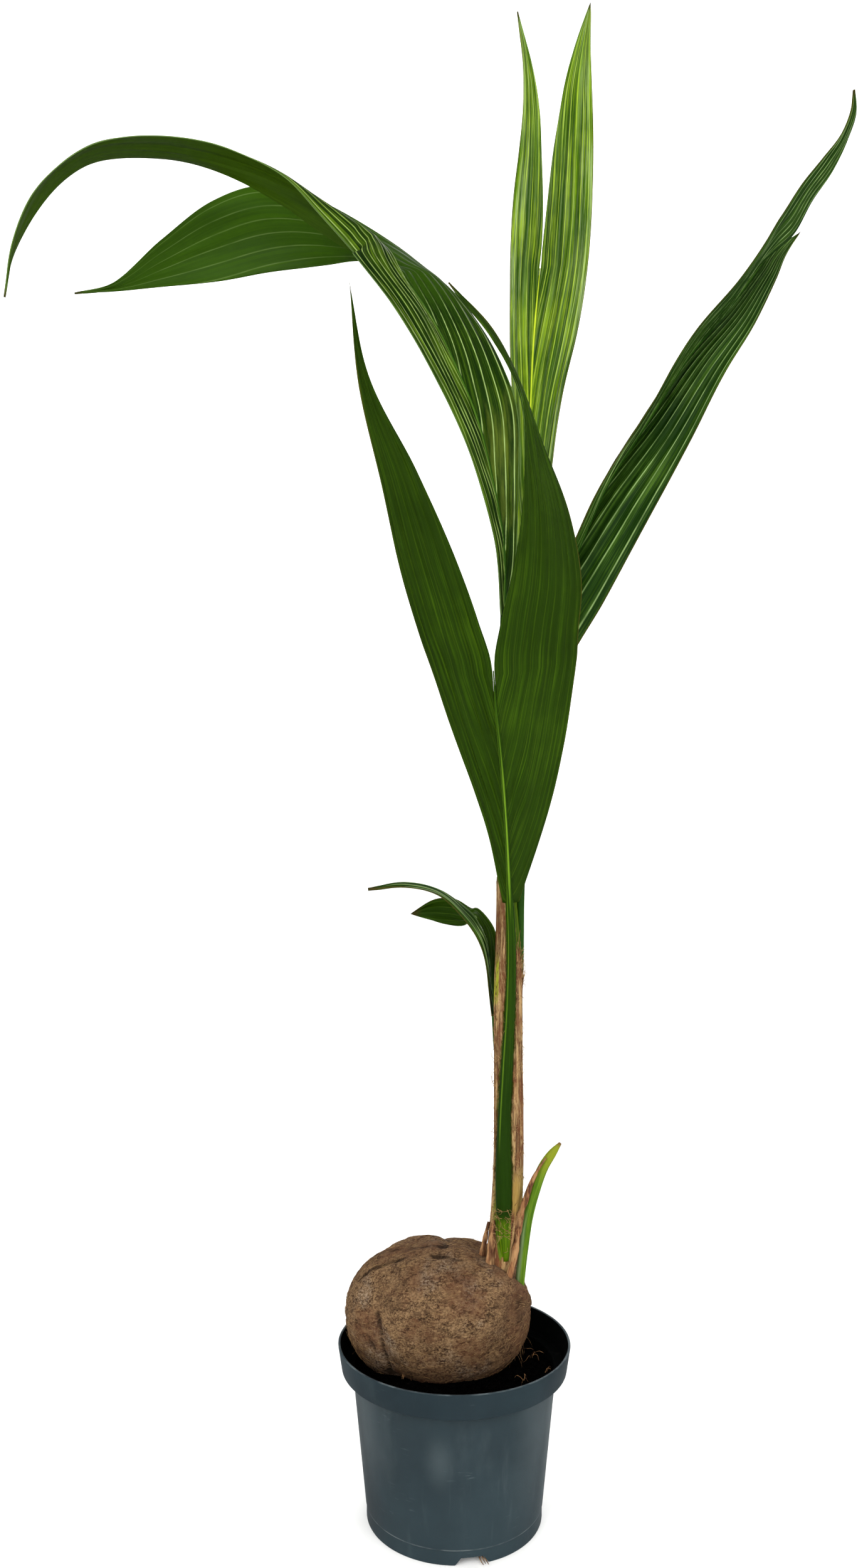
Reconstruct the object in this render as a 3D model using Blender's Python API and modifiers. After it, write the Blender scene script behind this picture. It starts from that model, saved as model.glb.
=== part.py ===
"""Potted coconut palm: a sprouted coconut lying in a nursery pot, with five split leaves.

+Z is up, +X is right, and the plant is seen from the -Y side. The origin is the middle
of the pot's flat underside. Sizes are in metres, and the routes of the stem and the
leaves are rows of millimetres.
"""
import math

import bmesh
import bpy
import numpy as np
from mathutils import Euler, Vector

MM = 0.001
CLEARANCE = 0.0003
PIECE_GAP = 0.0009

# Pot
POT_HEIGHT = 0.141
RIM_RADIUS = 0.095
RIM_EDGE = 0.0012
COLLAR_HEIGHT = 0.0205
COLLAR_FOOT_RADIUS = 0.0918
WALL_TOP_RADIUS = 0.0832
WALL_FOOT_RADIUS = 0.0722
FOOT_RADIUS = 0.0716
FOOT_CHAMFER = 0.0008
FOOT_HEIGHT = 0.0120
WALL = 0.0020
FLOOR = 0.0090
POT_STEPS = 60

# Drainage channels under the pot, one of them to the right of the front
CHANNEL_COUNT = 3
CHANNEL_TURN = math.radians(10)
CHANNEL_FOOT_WIDTH = 0.030
CHANNEL_TOP_WIDTH = 0.017
CHANNEL_HEIGHT = 0.0060
CHANNEL_START = 0.030
DRAIN_RADIUS = 0.0055
DRAIN_PLACE = 0.046

# Soil
SOIL_TOP = 0.118
SOIL_CROWN = 0.003

# Coconut husk
HUSK_CENTRE = Vector((-0.0135, 0.012, 0.160))
HUSK_HALF_LENGTH = 0.0765
HUSK_HALF_DEPTH = 0.055
HUSK_HALF_HEIGHT = 0.060
HUSK_SQUARENESS = 2.12
HUSK_YAW = math.radians(-6)
HUSK_PITCH = math.radians(-5)
HUSK_TURN = Euler((0.0, HUSK_PITCH, HUSK_YAW)).to_quaternion()
HUSK_SEGMENTS = 32
HUSK_RINGS = 18
# Each seam of the husk: where it starts, a place that it passes, its depth and its width
HUSK_SEAMS = (
    ((0.74, -0.21, 0.63), (-0.55, 0.21, 0.80), 0.045, 0.13),
    ((0.74, -0.21, 0.63), (0.19, 0.37, 0.91), 0.075, 0.16),
    ((-0.75, -0.47, 0.50), (-0.70, -0.65, -0.29), 0.060, 0.20),
)
# Front lobe before the stem's foot: places and widths in degrees along and round the husk
LOBE_ALONG = 35
LOBE_ALONG_WIDTH = 25
LOBE_ROUND = 47
LOBE_FRONT_WIDTH = 38
LOBE_BACK_WIDTH = 20
LOBE_HEIGHT = 0.0122

# Leaf stem: right, back, up and radius, in mm
STEM = (
    (33, -8, 184, 11.6),
    (38, -8, 213, 11.8),
    (42, -8, 244, 12.2),
    (44, -8, 285, 12.0),
    (44, -8, 366, 11.4),
    (44, -7, 417, 11.2),
    (44.5, -5, 458, 10.6),
    (43.5, -1, 505, 8.2),
    (43, 1, 527, 7.8),
)
# Green shoot and the dry scale at the stem's foot, in the same columns
SIDE_SHOOT = (
    (52, -7, 176, 3.8),
    (54, -8, 197, 3.9),
    (56.5, -10, 222, 4.1),
    (59.5, -13, 246, 4.3),
    (64.5, -16, 267, 4.3),
    (72, -18, 288, 4.0),
    (79, -19, 299, 3.2),
    (85, -20, 307, 1.2),
)
FOOT_SCALE = (
    (20, -9, 192, 3.0),
    (22, -9, 208, 2.8),
    (24.6, -9, 224, 2.2),
    (28, -9, 240, 1.0),
)

# Fronds whose stalks lie sunk in the leaf stem
SUNK_FRONDS = ("frond_front", "frond_right", "frond_small")
BLADE_CELLS = 3
STATION = 0.016
STALK_SIDES = 2
STEM_SIDES = 4

# Fronds. A stalk's rows are right, back, up and radius in mm. Its first rows are the bare
# petiole, and "rib" counts the last ones, which carry the blade up to its fork. A half's
# lobe goes on from the fork, with right, back and up of its inner edge. Its "across" has a
# row for each rib row and each lobe row: the width in mm, the turn in degrees out of the
# front plane, and the bulge of the blade in mm. "cuts" are the rows where it is in pieces.
FRONDS = {
    "frond_front": {
        "thick": 5.6,
        "rib": 5,
        "stalk": (
            (41, -17, 212, 3.2),
            (40, -19, 236, 5.4),
            (39.5, -21, 268, 6.6),
            (40, -21, 329, 5.2),
            (42, -20, 367, 4.9),
            (45, -19, 424, 4.1),
            (45.5, -21, 470, 3.7),
            (44, -25, 500, 3.6),
            (40, -38, 566, 3.2),
            (35, -55, 616, 2.9),
            (31, -67, 647, 2.7),
            (28, -80, 676, 2.5),
        ),
        "halves": {
            "left": {
                "lobe": ((16, -97, 713), (-7, -125, 767), (-29, -148, 809), (-61, -180, 865), (-72, -205, 915)),
                "across": (
                    (3, -45, 0),
                    (18, -42, 1),
                    (33, -38, 2),
                    (43, -37, 2),
                    (51, -36, 2),
                    (49, -35, 2),
                    (40, -32, 2),
                    (25, -28, 1),
                    (5, -22, 0),
                    (2.5, -20, 0),
                ),
                "cuts": (),
            },
            "right": {
                "lobe": (
                    (32, -97, 713),
                    (38, -110, 741),
                    (44, -130, 779),
                    (45, -150, 824),
                    (42, -163, 856),
                    (21, -182, 888),
                    (-8, -200, 916),
                ),
                "across": (
                    (9, 214, 0),
                    (39, 211, -1),
                    (57, 207, -2),
                    (65, 205, -2),
                    (70, 205, -2),
                    (63, 205, -2),
                    (57, 206, -2),
                    (47, 221, -2),
                    (37, 244, -1),
                    (27, 255, 0),
                    (15, 243, 0),
                    (2.5, 240, 0),
                ),
                "cuts": (),
            },
        },
    },
    "frond_arching": {
        "thick": 5.6,
        "rib": 7,
        "stalk": (
            (40, -1, 527.5, 3.1),
            (41, 1, 622, 3.3),
            (41, 4, 733, 3.4),
            (40, 6, 795, 3.4),
            (31, 12, 851, 3.3),
            (19, 22, 904, 3.1),
            (6, 34, 942, 2.9),
            (-15, 52, 994, 2.7),
            (-45, 70, 1048, 2.5),
        ),
        "halves": {
            "near": {
                "lobe": (
                    (-65, 84, 1071),
                    (-91, 84, 1075),
                    (-114, 84, 1088),
                    (-148, 84, 1112),
                    (-191, 82, 1135),
                    (-255, 76, 1151),
                    (-321, 66, 1141),
                    (-364, 54, 1091),
                    (-378, 49, 1056),
                    (-385, 44, 1015),
                ),
                "across": (
                    (8, 78, 0),
                    (20, 71, 0),
                    (32, 66, 0),
                    (42, 59, 1),
                    (51, 58, 2),
                    (56, 56, 4),
                    (56, 53, 9),
                    (44, 58, 17),
                    (33, 73, 21),
                    (30, 90, 18),
                    (38, 99, 9),
                    (42, 94, 3),
                    (42, 84, 1),
                    (36, 76, 2),
                    (22, 78, 1),
                    (12, 77, 0),
                    (2.5, 75, 0),
                ),
                "cuts": (9, 12),
            },
            "far": {
                "lobe": (
                    (-61, 80, 1057),
                    (-79, 88, 1066),
                    (-112, 98, 1068),
                    (-163, 108, 1067),
                    (-214, 114, 1061),
                    (-264, 116, 1057),
                    (-314, 114, 1051),
                    (-345, 110, 1048),
                ),
                "across": (
                    (5, 215, 0),
                    (11, 210, 0),
                    (22, 200, 0),
                    (33, 189, 0),
                    (38, 196, -1),
                    (46, 213, -2),
                    (54, 232, -3),
                    (59, 234, -3),
                    (63, 228, -3),
                    (69, 205, -3),
                    (82, 188, -3),
                    (76, 187, -2),
                    (46, 192, -1),
                    (5, 200, 0),
                    (2.5, 200, 0),
                ),
                "cuts": (9,),
            },
        },
    },
    "frond_upright": {
        "thick": 5.6,
        "rib": 5,
        "stalk": (
            (45.5, 4.5, 527.5, 2.9),
            (52, 12, 623, 3.1),
            (61, 25, 739, 3.2),
            (65, 38, 837, 3.0),
            (67, 49, 926, 2.8),
            (70, 53, 982, 2.6),
            (76, 57, 1046, 2.4),
        ),
        "halves": {
            "left": {
                "lobe": ((78, 57, 1110), (77, 55, 1145), (75, 53, 1180), (68, 51, 1222), (56, 49, 1264)),
                "across": (
                    (5, 32, 0),
                    (14.5, 32, 0),
                    (17, 33, 0),
                    (22.5, 33, 1),
                    (29, 33, 1),
                    (26, 31, 1),
                    (20, 29, 1),
                    (13.5, 27, 0),
                    (5.5, 24, 0),
                    (2.5, 24, 0),
                ),
                "cuts": (),
            },
            "right": {
                "lobe": ((84, 61, 1121), (90, 63, 1167), (98, 65, 1212), (110, 67, 1254), (121, 67, 1284)),
                "across": (
                    (6, 146, 0),
                    (15, 147, 0),
                    (27, 149, 0),
                    (37, 152, -1),
                    (41, 154, -1),
                    (37, 156, -1),
                    (31, 159, -1),
                    (22, 161, -1),
                    (9, 163, 0),
                    (2.5, 165, 0),
                ),
                "cuts": (),
            },
        },
    },
    "frond_right": {
        "thick": 5.6,
        "rib": 9,
        "stalk": (
            (53, -4, 398, 2.0),
            (54, -3, 458, 3.0),
            (54.5, -2, 501, 3.1),
            (58, 0, 576, 3.2),
            (65, 4, 648, 3.5),
            (75, 9, 703, 3.6),
            (89, 15, 756, 3.7),
            (106, 21, 798, 3.8),
            (126, 27, 843, 3.8),
            (165, 37, 906, 3.8),
            (203, 46, 966, 3.7),
            (239, 53, 1010, 3.6),
            (265, 58, 1045, 3.6),
        ),
        "halves": {
            "left": {
                "lobe": (
                    (280, 61, 1061),
                    (297, 64, 1077),
                    (315, 66, 1110),
                    (333, 68, 1136),
                    (347, 70, 1165),
                    (355, 71, 1190),
                    (354, 71, 1210),
                ),
                "across": (
                    (5, 62, 0),
                    (14, 66, 0),
                    (20, 74, 0),
                    (26, 80, 0),
                    (30, 84, 0),
                    (33, 84, 0),
                    (34, 83, 0),
                    (34, 83, 0),
                    (34, 80, 0),
                    (31, 69, 0),
                    (26, 55, 0),
                    (17, 51, 0),
                    (12, 41, 0),
                    (6, 50, 0),
                    (3.5, 50, 0),
                    (2.5, 50, 0),
                ),
                "cuts": (8,),
            },
            "right": {
                "lobe": ((284, 66, 1068), (308, 74, 1087)),
                "across": (
                    (6, 164, 0),
                    (18, 162, 0),
                    (33.5, 160, -1),
                    (38.5, 160, -2),
                    (42.5, 160, -2),
                    (38, 160, -2),
                    (32, 160, -1),
                    (23.5, 161, -1),
                    (14.5, 163, -1),
                    (6.5, 168, 0),
                    (2.5, 170, 0),
                ),
                "cuts": (),
            },
        },
    },
    "frond_small": {
        "thick": 3.0,
        "rib": 5,
        "stalk": (
            (37, 2.5, 348, 1.6),
            (34.5, 6, 380, 1.9),
            (33, 8, 405, 2.0),
            (31, 9, 428, 2.0),
            (29, 8, 452, 2.0),
            (25, 5, 472, 1.9),
            (17, 0, 487, 1.8),
        ),
        "halves": {
            "near": {
                "lobe": ((5, -4, 498), (-14, -8, 510), (-41, -12, 516), (-70, -15, 511)),
                "across": (
                    (4, 70, 0),
                    (11, 79, 0),
                    (17, 79, 0),
                    (21, 76, 1),
                    (23, 74, 2),
                    (22, 77, 2),
                    (20, 83, 2),
                    (14, 80, 1),
                    (2.5, 85, 0),
                ),
                "cuts": (4,),
            },
            "far": {
                "lobe": ((11, 4, 480), (-8, 10, 480), (-22, 12, 484), (-36, 14, 488)),
                "across": (
                    (4, 200, 0),
                    (8, 210, 0),
                    (11, 220, 0),
                    (13, 232, 0),
                    (18, 254, 0),
                    (21, 242, 0),
                    (24, 215, 0),
                    (15, 190, 0),
                    (2.5, 190, 0),
                ),
                "cuts": (),
            },
        },
    },
}

# Colour, roughness and metallic value of each material
FINISHES = {
    "pot_plastic": ((0.045, 0.065, 0.075), 0.42, 0.0),
    "potting_soil": ((0.008, 0.007, 0.006), 0.95, 0.0),
    "husk_fibre": ((0.105, 0.070, 0.042), 0.92, 0.0),
    "sheath_fibre": ((0.330, 0.190, 0.100), 0.88, 0.0),
    "young_shoot": ((0.120, 0.260, 0.040), 0.50, 0.0),
    "frond_front_green": ((0.030, 0.085, 0.008), 0.48, 0.0),
    "frond_arching_green": ((0.025, 0.075, 0.010), 0.48, 0.0),
    "frond_upright_green": ((0.130, 0.240, 0.040), 0.50, 0.0),
    "frond_right_green": ((0.030, 0.080, 0.018), 0.48, 0.0),
    "frond_small_green": ((0.020, 0.065, 0.010), 0.48, 0.0),
    "stalk_green": ((0.060, 0.150, 0.012), 0.45, 0.0),
}


def clear_scene():
    """Start from an empty scene."""
    for old in list(bpy.data.objects):
        bpy.data.objects.remove(old, do_unlink=True)


def new_collection(name):
    """A collection under the scene's own one."""
    made = bpy.data.collections.new(name)
    bpy.context.scene.collection.children.link(made)
    return made


def make_material(name):
    """A Principled material from its row in FINISHES."""
    colour, roughness, metallic = FINISHES[name]
    material = bpy.data.materials.new(name)
    material.use_nodes = True
    shader = material.node_tree.nodes["Principled BSDF"]
    shader.inputs["Base Color"].default_value = (*colour, 1.0)
    shader.inputs["Roughness"].default_value = roughness
    shader.inputs["Metallic"].default_value = metallic
    material.diffuse_color = (*colour, 1.0)
    return material


def add_piece(name, data, material):
    """A visible piece of the plant."""
    piece = bpy.data.objects.new(name, data)
    plant.objects.link(piece)
    piece.data.materials.append(materials[material])
    return piece


def add_cutter(name, data):
    """A hidden piece that cuts another."""
    cutter = bpy.data.objects.new(name, data)
    cutters.objects.link(cutter)
    cutter.hide_render = True
    cutter.display_type = "WIRE"
    return cutter


def cut(piece, cutter):
    """Take one mesh away from another."""
    boolean = piece.modifiers.new(cutter.name, "BOOLEAN")
    boolean.operation = "DIFFERENCE"
    boolean.solver = "EXACT"
    boolean.object = cutter


def smooth_faces(mesh, angle=35):
    """Shade a round piece smooth and keep its edges sharp."""
    mesh.shade_smooth()
    mesh.set_sharp_from_angle(angle=math.radians(angle))


# Turned pieces

def turned(name, profile, material):
    """A turned solid from (radius, height) points that run down its outer side."""
    shape = bmesh.new()
    line = [shape.verts.new((radius, 0.0, height)) for radius, height in profile]
    edges = [shape.edges.new(pair) for pair in zip(line, line[1:])]
    bmesh.ops.spin(shape, geom=line + edges, cent=(0, 0, 0), axis=(0, 0, 1), angle=math.tau,
                   steps=POT_STEPS, use_merge=True)
    bmesh.ops.remove_doubles(shape, verts=shape.verts, dist=0.00005)
    bmesh.ops.recalc_face_normals(shape, faces=shape.faces)
    bmesh.ops.dissolve_limit(shape, angle_limit=0.001, verts=shape.verts, edges=shape.edges)
    mesh = bpy.data.meshes.new(name)
    shape.to_mesh(mesh)
    shape.free()
    smooth_faces(mesh)
    return add_piece(name, mesh, material)


def wall_radius(height):
    """Outer radius of the pot's straight wall at a height."""
    share = (height - FOOT_HEIGHT) / (POT_HEIGHT - COLLAR_HEIGHT - FOOT_HEIGHT)
    return WALL_FOOT_RADIUS + share * (WALL_TOP_RADIUS - WALL_FOOT_RADIUS)


def inner_radius(height):
    """Inner radius of the pot below its collar."""
    return wall_radius(height) - WALL


def make_pot():
    """Tapered pot with a collar, a low foot and a flat underside with drainage channels."""
    step = POT_HEIGHT - COLLAR_HEIGHT
    profile = (
        (0.0, FLOOR),
        (inner_radius(FLOOR), FLOOR),
        (inner_radius(step + WALL), step + WALL),
        (COLLAR_FOOT_RADIUS - WALL, step + WALL),
        (RIM_RADIUS - WALL, POT_HEIGHT - RIM_EDGE / 2),
        (RIM_RADIUS - WALL + RIM_EDGE / 2, POT_HEIGHT),
        (RIM_RADIUS - RIM_EDGE / 2, POT_HEIGHT),
        (RIM_RADIUS, POT_HEIGHT - RIM_EDGE / 2),
        (COLLAR_FOOT_RADIUS, step + RIM_EDGE / 2),
        (COLLAR_FOOT_RADIUS - RIM_EDGE / 2, step),
        (WALL_TOP_RADIUS, step),
        (WALL_FOOT_RADIUS, FOOT_HEIGHT),
        (FOOT_RADIUS, FOOT_HEIGHT - FOOT_CHAMFER),
        (FOOT_RADIUS, FOOT_CHAMFER),
        (FOOT_RADIUS - FOOT_CHAMFER, 0.0),
        (0.0, 0.0),
    )
    pot = turned("pot", profile, "pot_plastic")
    for index in range(CHANNEL_COUNT):
        turn = CHANNEL_TURN + index * math.tau / CHANNEL_COUNT
        cut(pot, channel_cutter(index, turn))
        cut(pot, drain_cutter(index, turn))


def channel_cutter(index, turn):
    """A bar with slanted sides that leaves a notch where it crosses the foot."""
    shape = bmesh.new()
    bmesh.ops.create_cube(shape, size=1.0)
    length = WALL_FOOT_RADIUS - CHANNEL_START + 2 * WALL
    middle = CHANNEL_START + length / 2
    for vert in shape.verts:
        top = vert.co.z > 0
        width = CHANNEL_TOP_WIDTH if top else CHANNEL_FOOT_WIDTH + 2 * WALL
        across = vert.co.x * width
        along = vert.co.y * length - middle
        up = CHANNEL_HEIGHT if top else -2 * WALL
        right = across * math.cos(turn) - along * math.sin(turn)
        back = across * math.sin(turn) + along * math.cos(turn)
        vert.co = (right, back, up)
    mesh = bpy.data.meshes.new(f"channel_cut_{index}")
    shape.to_mesh(mesh)
    shape.free()
    return add_cutter(mesh.name, mesh)


def drain_cutter(index, turn):
    """A round drain hole through the floor of a channel."""
    shape = bmesh.new()
    bmesh.ops.create_cone(shape, cap_ends=True, segments=12, radius1=DRAIN_RADIUS,
                          radius2=DRAIN_RADIUS, depth=2 * FLOOR)
    mesh = bpy.data.meshes.new(f"drain_cut_{index}")
    shape.to_mesh(mesh)
    shape.free()
    cutter = add_cutter(mesh.name, mesh)
    cutter.location = (DRAIN_PLACE * math.sin(turn), -DRAIN_PLACE * math.cos(turn), FLOOR)
    return cutter


def make_soil(husk_cut):
    """Soil that fills the pot up to the husk it holds."""
    low = FLOOR + CLEARANCE
    edge = inner_radius(SOIL_TOP) - CLEARANCE
    profile = (
        (0.0, SOIL_TOP + SOIL_CROWN),
        (edge * 0.5, SOIL_TOP + SOIL_CROWN * 0.6),
        (edge, SOIL_TOP),
        (inner_radius(low) - CLEARANCE, low),
        (0.0, low),
    )
    cut(turned("soil", profile, "potting_soil"), husk_cut)


# Husk

def husk_reach(direction):
    """How far the husk reaches from its centre in a direction, with its seams pressed in."""
    local = HUSK_TURN.inverted() @ direction
    halves = (HUSK_HALF_LENGTH, HUSK_HALF_DEPTH, HUSK_HALF_HEIGHT)
    shares = [abs(part / half) ** HUSK_SQUARENESS for part, half in zip(local, halves)]
    reach = sum(shares) ** (-1.0 / HUSK_SQUARENESS)
    for start, place, depth, width in HUSK_SEAMS:
        start = Vector(start).normalized()
        place = Vector(place).normalized()
        off = math.asin(max(-1.0, min(1.0, direction.dot(start.cross(place).normalized()))))
        near = max(0.0, min(1.0, 0.5 + 2.0 * direction.dot((start + place).normalized())))
        reach *= 1.0 - depth * near * math.exp(-(off / width) ** 2)
    right, back, up = (part / half for part, half in zip(local, halves))
    along = math.degrees(math.acos(right / math.sqrt(right ** 2 + back ** 2 + up ** 2)))
    around = math.degrees(math.atan2(up, -back)) - LOBE_ROUND
    around_width = LOBE_FRONT_WIDTH if around < 0.0 else LOBE_BACK_WIDTH
    off = ((along - LOBE_ALONG) / LOBE_ALONG_WIDTH) ** 2 + (around / around_width) ** 2
    return reach + LOBE_HEIGHT * math.exp(-off)


def husk_mesh(name, grow):
    """The husk's mesh, larger all round by a clearance."""
    shape = bmesh.new()
    bmesh.ops.create_uvsphere(shape, u_segments=HUSK_SEGMENTS, v_segments=HUSK_RINGS, radius=1.0)
    for vert in shape.verts:
        direction = (HUSK_TURN @ Vector((vert.co.z, vert.co.x, vert.co.y))).normalized()
        vert.co = HUSK_CENTRE + direction * (husk_reach(direction) + grow)
    bmesh.ops.triangulate(shape, faces=shape.faces)
    mesh = bpy.data.meshes.new(name)
    shape.to_mesh(mesh)
    shape.free()
    return mesh


# Smooth routes

def distances(points):
    """Distance of each row along the straight lines between the rows."""
    steps = np.linalg.norm(np.diff(points[:, :3], axis=0), axis=1)
    return np.concatenate(([0.0], np.cumsum(steps)))


def read_smooth(rows, knots, slopes, places):
    """Rows read along a smooth curve through given rows with given slopes."""
    index = np.clip(np.searchsorted(knots, places, side="right") - 1, 0, len(knots) - 2)
    span = (knots[index + 1] - knots[index])[:, None]
    share = (places - knots[index])[:, None] / span
    square = share * share
    cube = square * share
    start = (2 * cube - 3 * square + 1) * rows[index]
    start_slope = (cube - 2 * square + share) * span * slopes[index]
    end = (3 * square - 2 * cube) * rows[index + 1]
    end_slope = (cube - square) * span * slopes[index + 1]
    return start + start_slope + end + end_slope


def unit(rows):
    """Rows scaled to length one."""
    return rows / np.linalg.norm(rows, axis=-1, keepdims=True)


def spaced(start, end, step):
    """Even places from start to end, about a step apart."""
    count = max(2, round((end - start) / step) + 1)
    return np.linspace(start, end, count)


def tube_curve(name, rows, sides, grow=0.0):
    """A round tube through rows of place and radius in metres, with closed ends."""
    curve = bpy.data.curves.new(name, "CURVE")
    curve.dimensions = "3D"
    curve.bevel_depth = 1.0
    curve.bevel_resolution = sides
    curve.use_fill_caps = True
    curve.twist_mode = "MINIMUM"
    spline = curve.splines.new("POLY")
    spline.points.add(len(rows) - 1)
    for point, row in zip(spline.points, rows):
        point.co = (row[0], row[1], row[2], 1.0)
        point.radius = row[3] + grow
    return curve


def tube_mesh(name, rows, sides, grow=0.0):
    """The same tube as one closed mesh, for a piece that is cut or that cuts."""
    route = bpy.data.objects.new(name, tube_curve(name, rows, sides, grow))
    plant.objects.link(route)
    bpy.context.view_layer.update()
    evaluated = route.evaluated_get(bpy.context.evaluated_depsgraph_get())
    mesh = bpy.data.meshes.new_from_object(evaluated)
    bpy.data.objects.remove(route, do_unlink=True)
    shape = bmesh.new()
    shape.from_mesh(mesh)
    bmesh.ops.remove_doubles(shape, verts=shape.verts, dist=0.00001)
    shape.to_mesh(mesh)
    shape.free()
    mesh.name = name
    return mesh


def smooth_rows(rows):
    """Stem rows in metres, read along their smooth curve."""
    rows = np.array(rows, dtype=float) * MM
    knots = distances(rows)
    slopes = np.gradient(rows, knots, axis=0)
    return read_smooth(rows, knots, slopes, spaced(0.0, knots[-1], STATION))


# Fronds

class Stalk:
    """A frond's petiole and rib, read once for the stalk itself and for both halves."""

    def __init__(self, frond):
        self.rows = np.array(frond["stalk"], dtype=float) * MM
        self.knots = distances(self.rows)
        self.slopes = np.gradient(self.rows, self.knots, axis=0)
        self.first = len(self.rows) - frond["rib"]
        start = self.knots[self.first]
        self.rib_places = spaced(start, self.knots[-1], STATION)
        petiole_places = spaced(0.0, start, STATION)[:-1]
        self.places = np.concatenate((petiole_places, self.rib_places))

    def read(self, places):
        """Place and radius at distances along the stalk."""
        return read_smooth(self.rows, self.knots, self.slopes, places)


def turn_outward(ahead, degrees):
    """Directions that point away from a route, turned out of the front plane."""
    level = unit(np.cross(ahead, (0.0, 1.0, 0.0)))
    front = np.cross(ahead, level)
    turn = np.radians(degrees)[:, None]
    return np.cos(turn) * level + np.sin(turn) * front


def blade_grid(stalk, half, thick):
    """Rows of surface points across one half of a blade, their distances, and the knots."""
    lobe = np.vstack((stalk.rows[-1:, :3], np.array(half["lobe"], dtype=float) * MM))
    lobe_knots = distances(lobe)
    lobe_slopes = np.gradient(lobe, lobe_knots, axis=0)
    lobe_slopes[0] = stalk.slopes[-1, :3]
    start = stalk.knots[stalk.first]
    reach = stalk.knots[-1] - start
    knots = np.concatenate((stalk.knots[stalk.first:] - start, reach + lobe_knots[1:]))
    places = np.concatenate((stalk.rib_places - start, reach + spaced(0.0, lobe_knots[-1], STATION)[1:]))
    across = np.array(half["across"], dtype=float)
    across[:, [0, 2]] *= MM

    def edge_route(wanted):
        """Places on the rib, and then on the lobe's inner edge, with the rib's radius."""
        rib = stalk.read(start + np.minimum(wanted, reach))
        free = read_smooth(lobe, lobe_knots, lobe_slopes, np.maximum(wanted - reach, 0.0))
        return np.where((wanted <= reach)[:, None], rib[:, :3], free), rib[:, 3]

    def inset(bulge, width, radii):
        """Space between the route and the blade's edge."""
        lean = np.arctan2(4 * np.abs(bulge), np.maximum(width, MM))
        return (CLEARANCE + thick / 2 * np.sin(lean) + radii)[:, None]

    points, radii = edge_route(knots)
    before, _ = edge_route(np.maximum(knots - STATION, 0.0))
    after, _ = edge_route(np.minimum(knots + STATION, knots[-1]))
    outward = turn_outward(unit(after - before), across[:, 1])
    outer = points + (inset(across[:, 2], across[:, 0], radii) + across[:, :1]) * outward
    outer = read_smooth(outer, knots, np.gradient(outer, knots, axis=0), places)

    across = read_smooth(across, knots, np.gradient(across, knots, axis=0), places)
    points, radii = edge_route(places)
    ahead = unit(np.gradient(points, places, axis=0))
    outward = outer - points
    outward = unit(outward - np.sum(outward * ahead, axis=1)[:, None] * ahead)
    inner = points + inset(across[:, 2], across[:, 0], radii) * outward
    raised = np.cross(ahead, outward)
    share = np.linspace(0.0, 1.0, BLADE_CELLS + 1)[None, :, None]
    bulge = across[:, 2][:, None, None] * 4 * share * (1 - share)
    return inner[:, None] + share * (outer - inner)[:, None] + bulge * raised[:, None], places, knots


def blade_piece(name, grid, thick, material):
    """A thin closed blade over a grid of surface points."""
    rows, columns = grid.shape[:2]
    faces = []
    for row in range(rows - 1):
        for column in range(columns - 1):
            first = row * columns + column
            faces.append((first, first + 1, first + columns + 1, first + columns))
    mesh = bpy.data.meshes.new(name)
    mesh.from_pydata(grid.reshape(-1, 3).tolist(), [], faces)
    piece = add_piece(name, mesh, material)
    solid = piece.modifiers.new("Thickness", "SOLIDIFY")
    solid.thickness = thick
    solid.offset = 0.0
    return piece


def between(grid, places, start, end):
    """The part of a grid between two distances, with a row at each of them."""
    inside = (places > start + CLEARANCE) & (places < end - CLEARANCE)
    wanted = np.concatenate(([start], places[inside], [end]))
    flat = grid.reshape(len(grid), -1)
    read = [np.interp(wanted, places, column) for column in flat.T]
    return np.array(read).T.reshape(len(wanted), *grid.shape[1:])


def make_frond(name, frond):
    """One leaf: its stalk and the pieces of its two halves. The stalk's rows are returned."""
    stalk = Stalk(frond)
    rows = stalk.read(stalk.places)
    add_piece(f"{name}_stalk", tube_curve(f"{name}_stalk", rows, STALK_SIDES), "stalk_green")
    for side, half in frond["halves"].items():
        thick = frond["thick"] * MM
        grid, places, knots = blade_grid(stalk, half, thick)
        ends = [places[0], *(knots[row] for row in half["cuts"]), places[-1]]
        for index in range(len(ends) - 1):
            start = ends[index] + (PIECE_GAP if index else 0.0)
            number = f"_{index + 1}" if len(ends) > 2 else ""
            part = between(grid, places, start, ends[index + 1])
            blade_piece(f"{name}_{side}{number}", part, thick, f"{name}_green")
    return rows


def make_tube(name, rows, sides, material, cuts):
    """A solid tube that other pieces are cut into."""
    piece = add_piece(name, tube_mesh(name, smooth_rows(rows), sides), material)
    for cutter in cuts:
        cut(piece, cutter)


clear_scene()
plant = new_collection("potted_coconut_palm")
cutters = new_collection("cutters")
materials = {name: make_material(name) for name in FINISHES}

husk = add_piece("coconut_husk", husk_mesh("coconut_husk", 0.0), "husk_fibre")
smooth_faces(husk.data)
husk_cut = add_cutter("husk_cut", husk_mesh("husk_cut", CLEARANCE))
make_pot()
make_soil(husk_cut)

stem_cuts = [husk_cut]
for frond_name, frond_sizes in FRONDS.items():
    stalk_rows = make_frond(frond_name, frond_sizes)
    if frond_name in SUNK_FRONDS:
        cut_name = f"{frond_name}_stalk_cut"
        stem_cuts.append(add_cutter(cut_name, tube_mesh(cut_name, stalk_rows, STALK_SIDES, CLEARANCE)))

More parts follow.
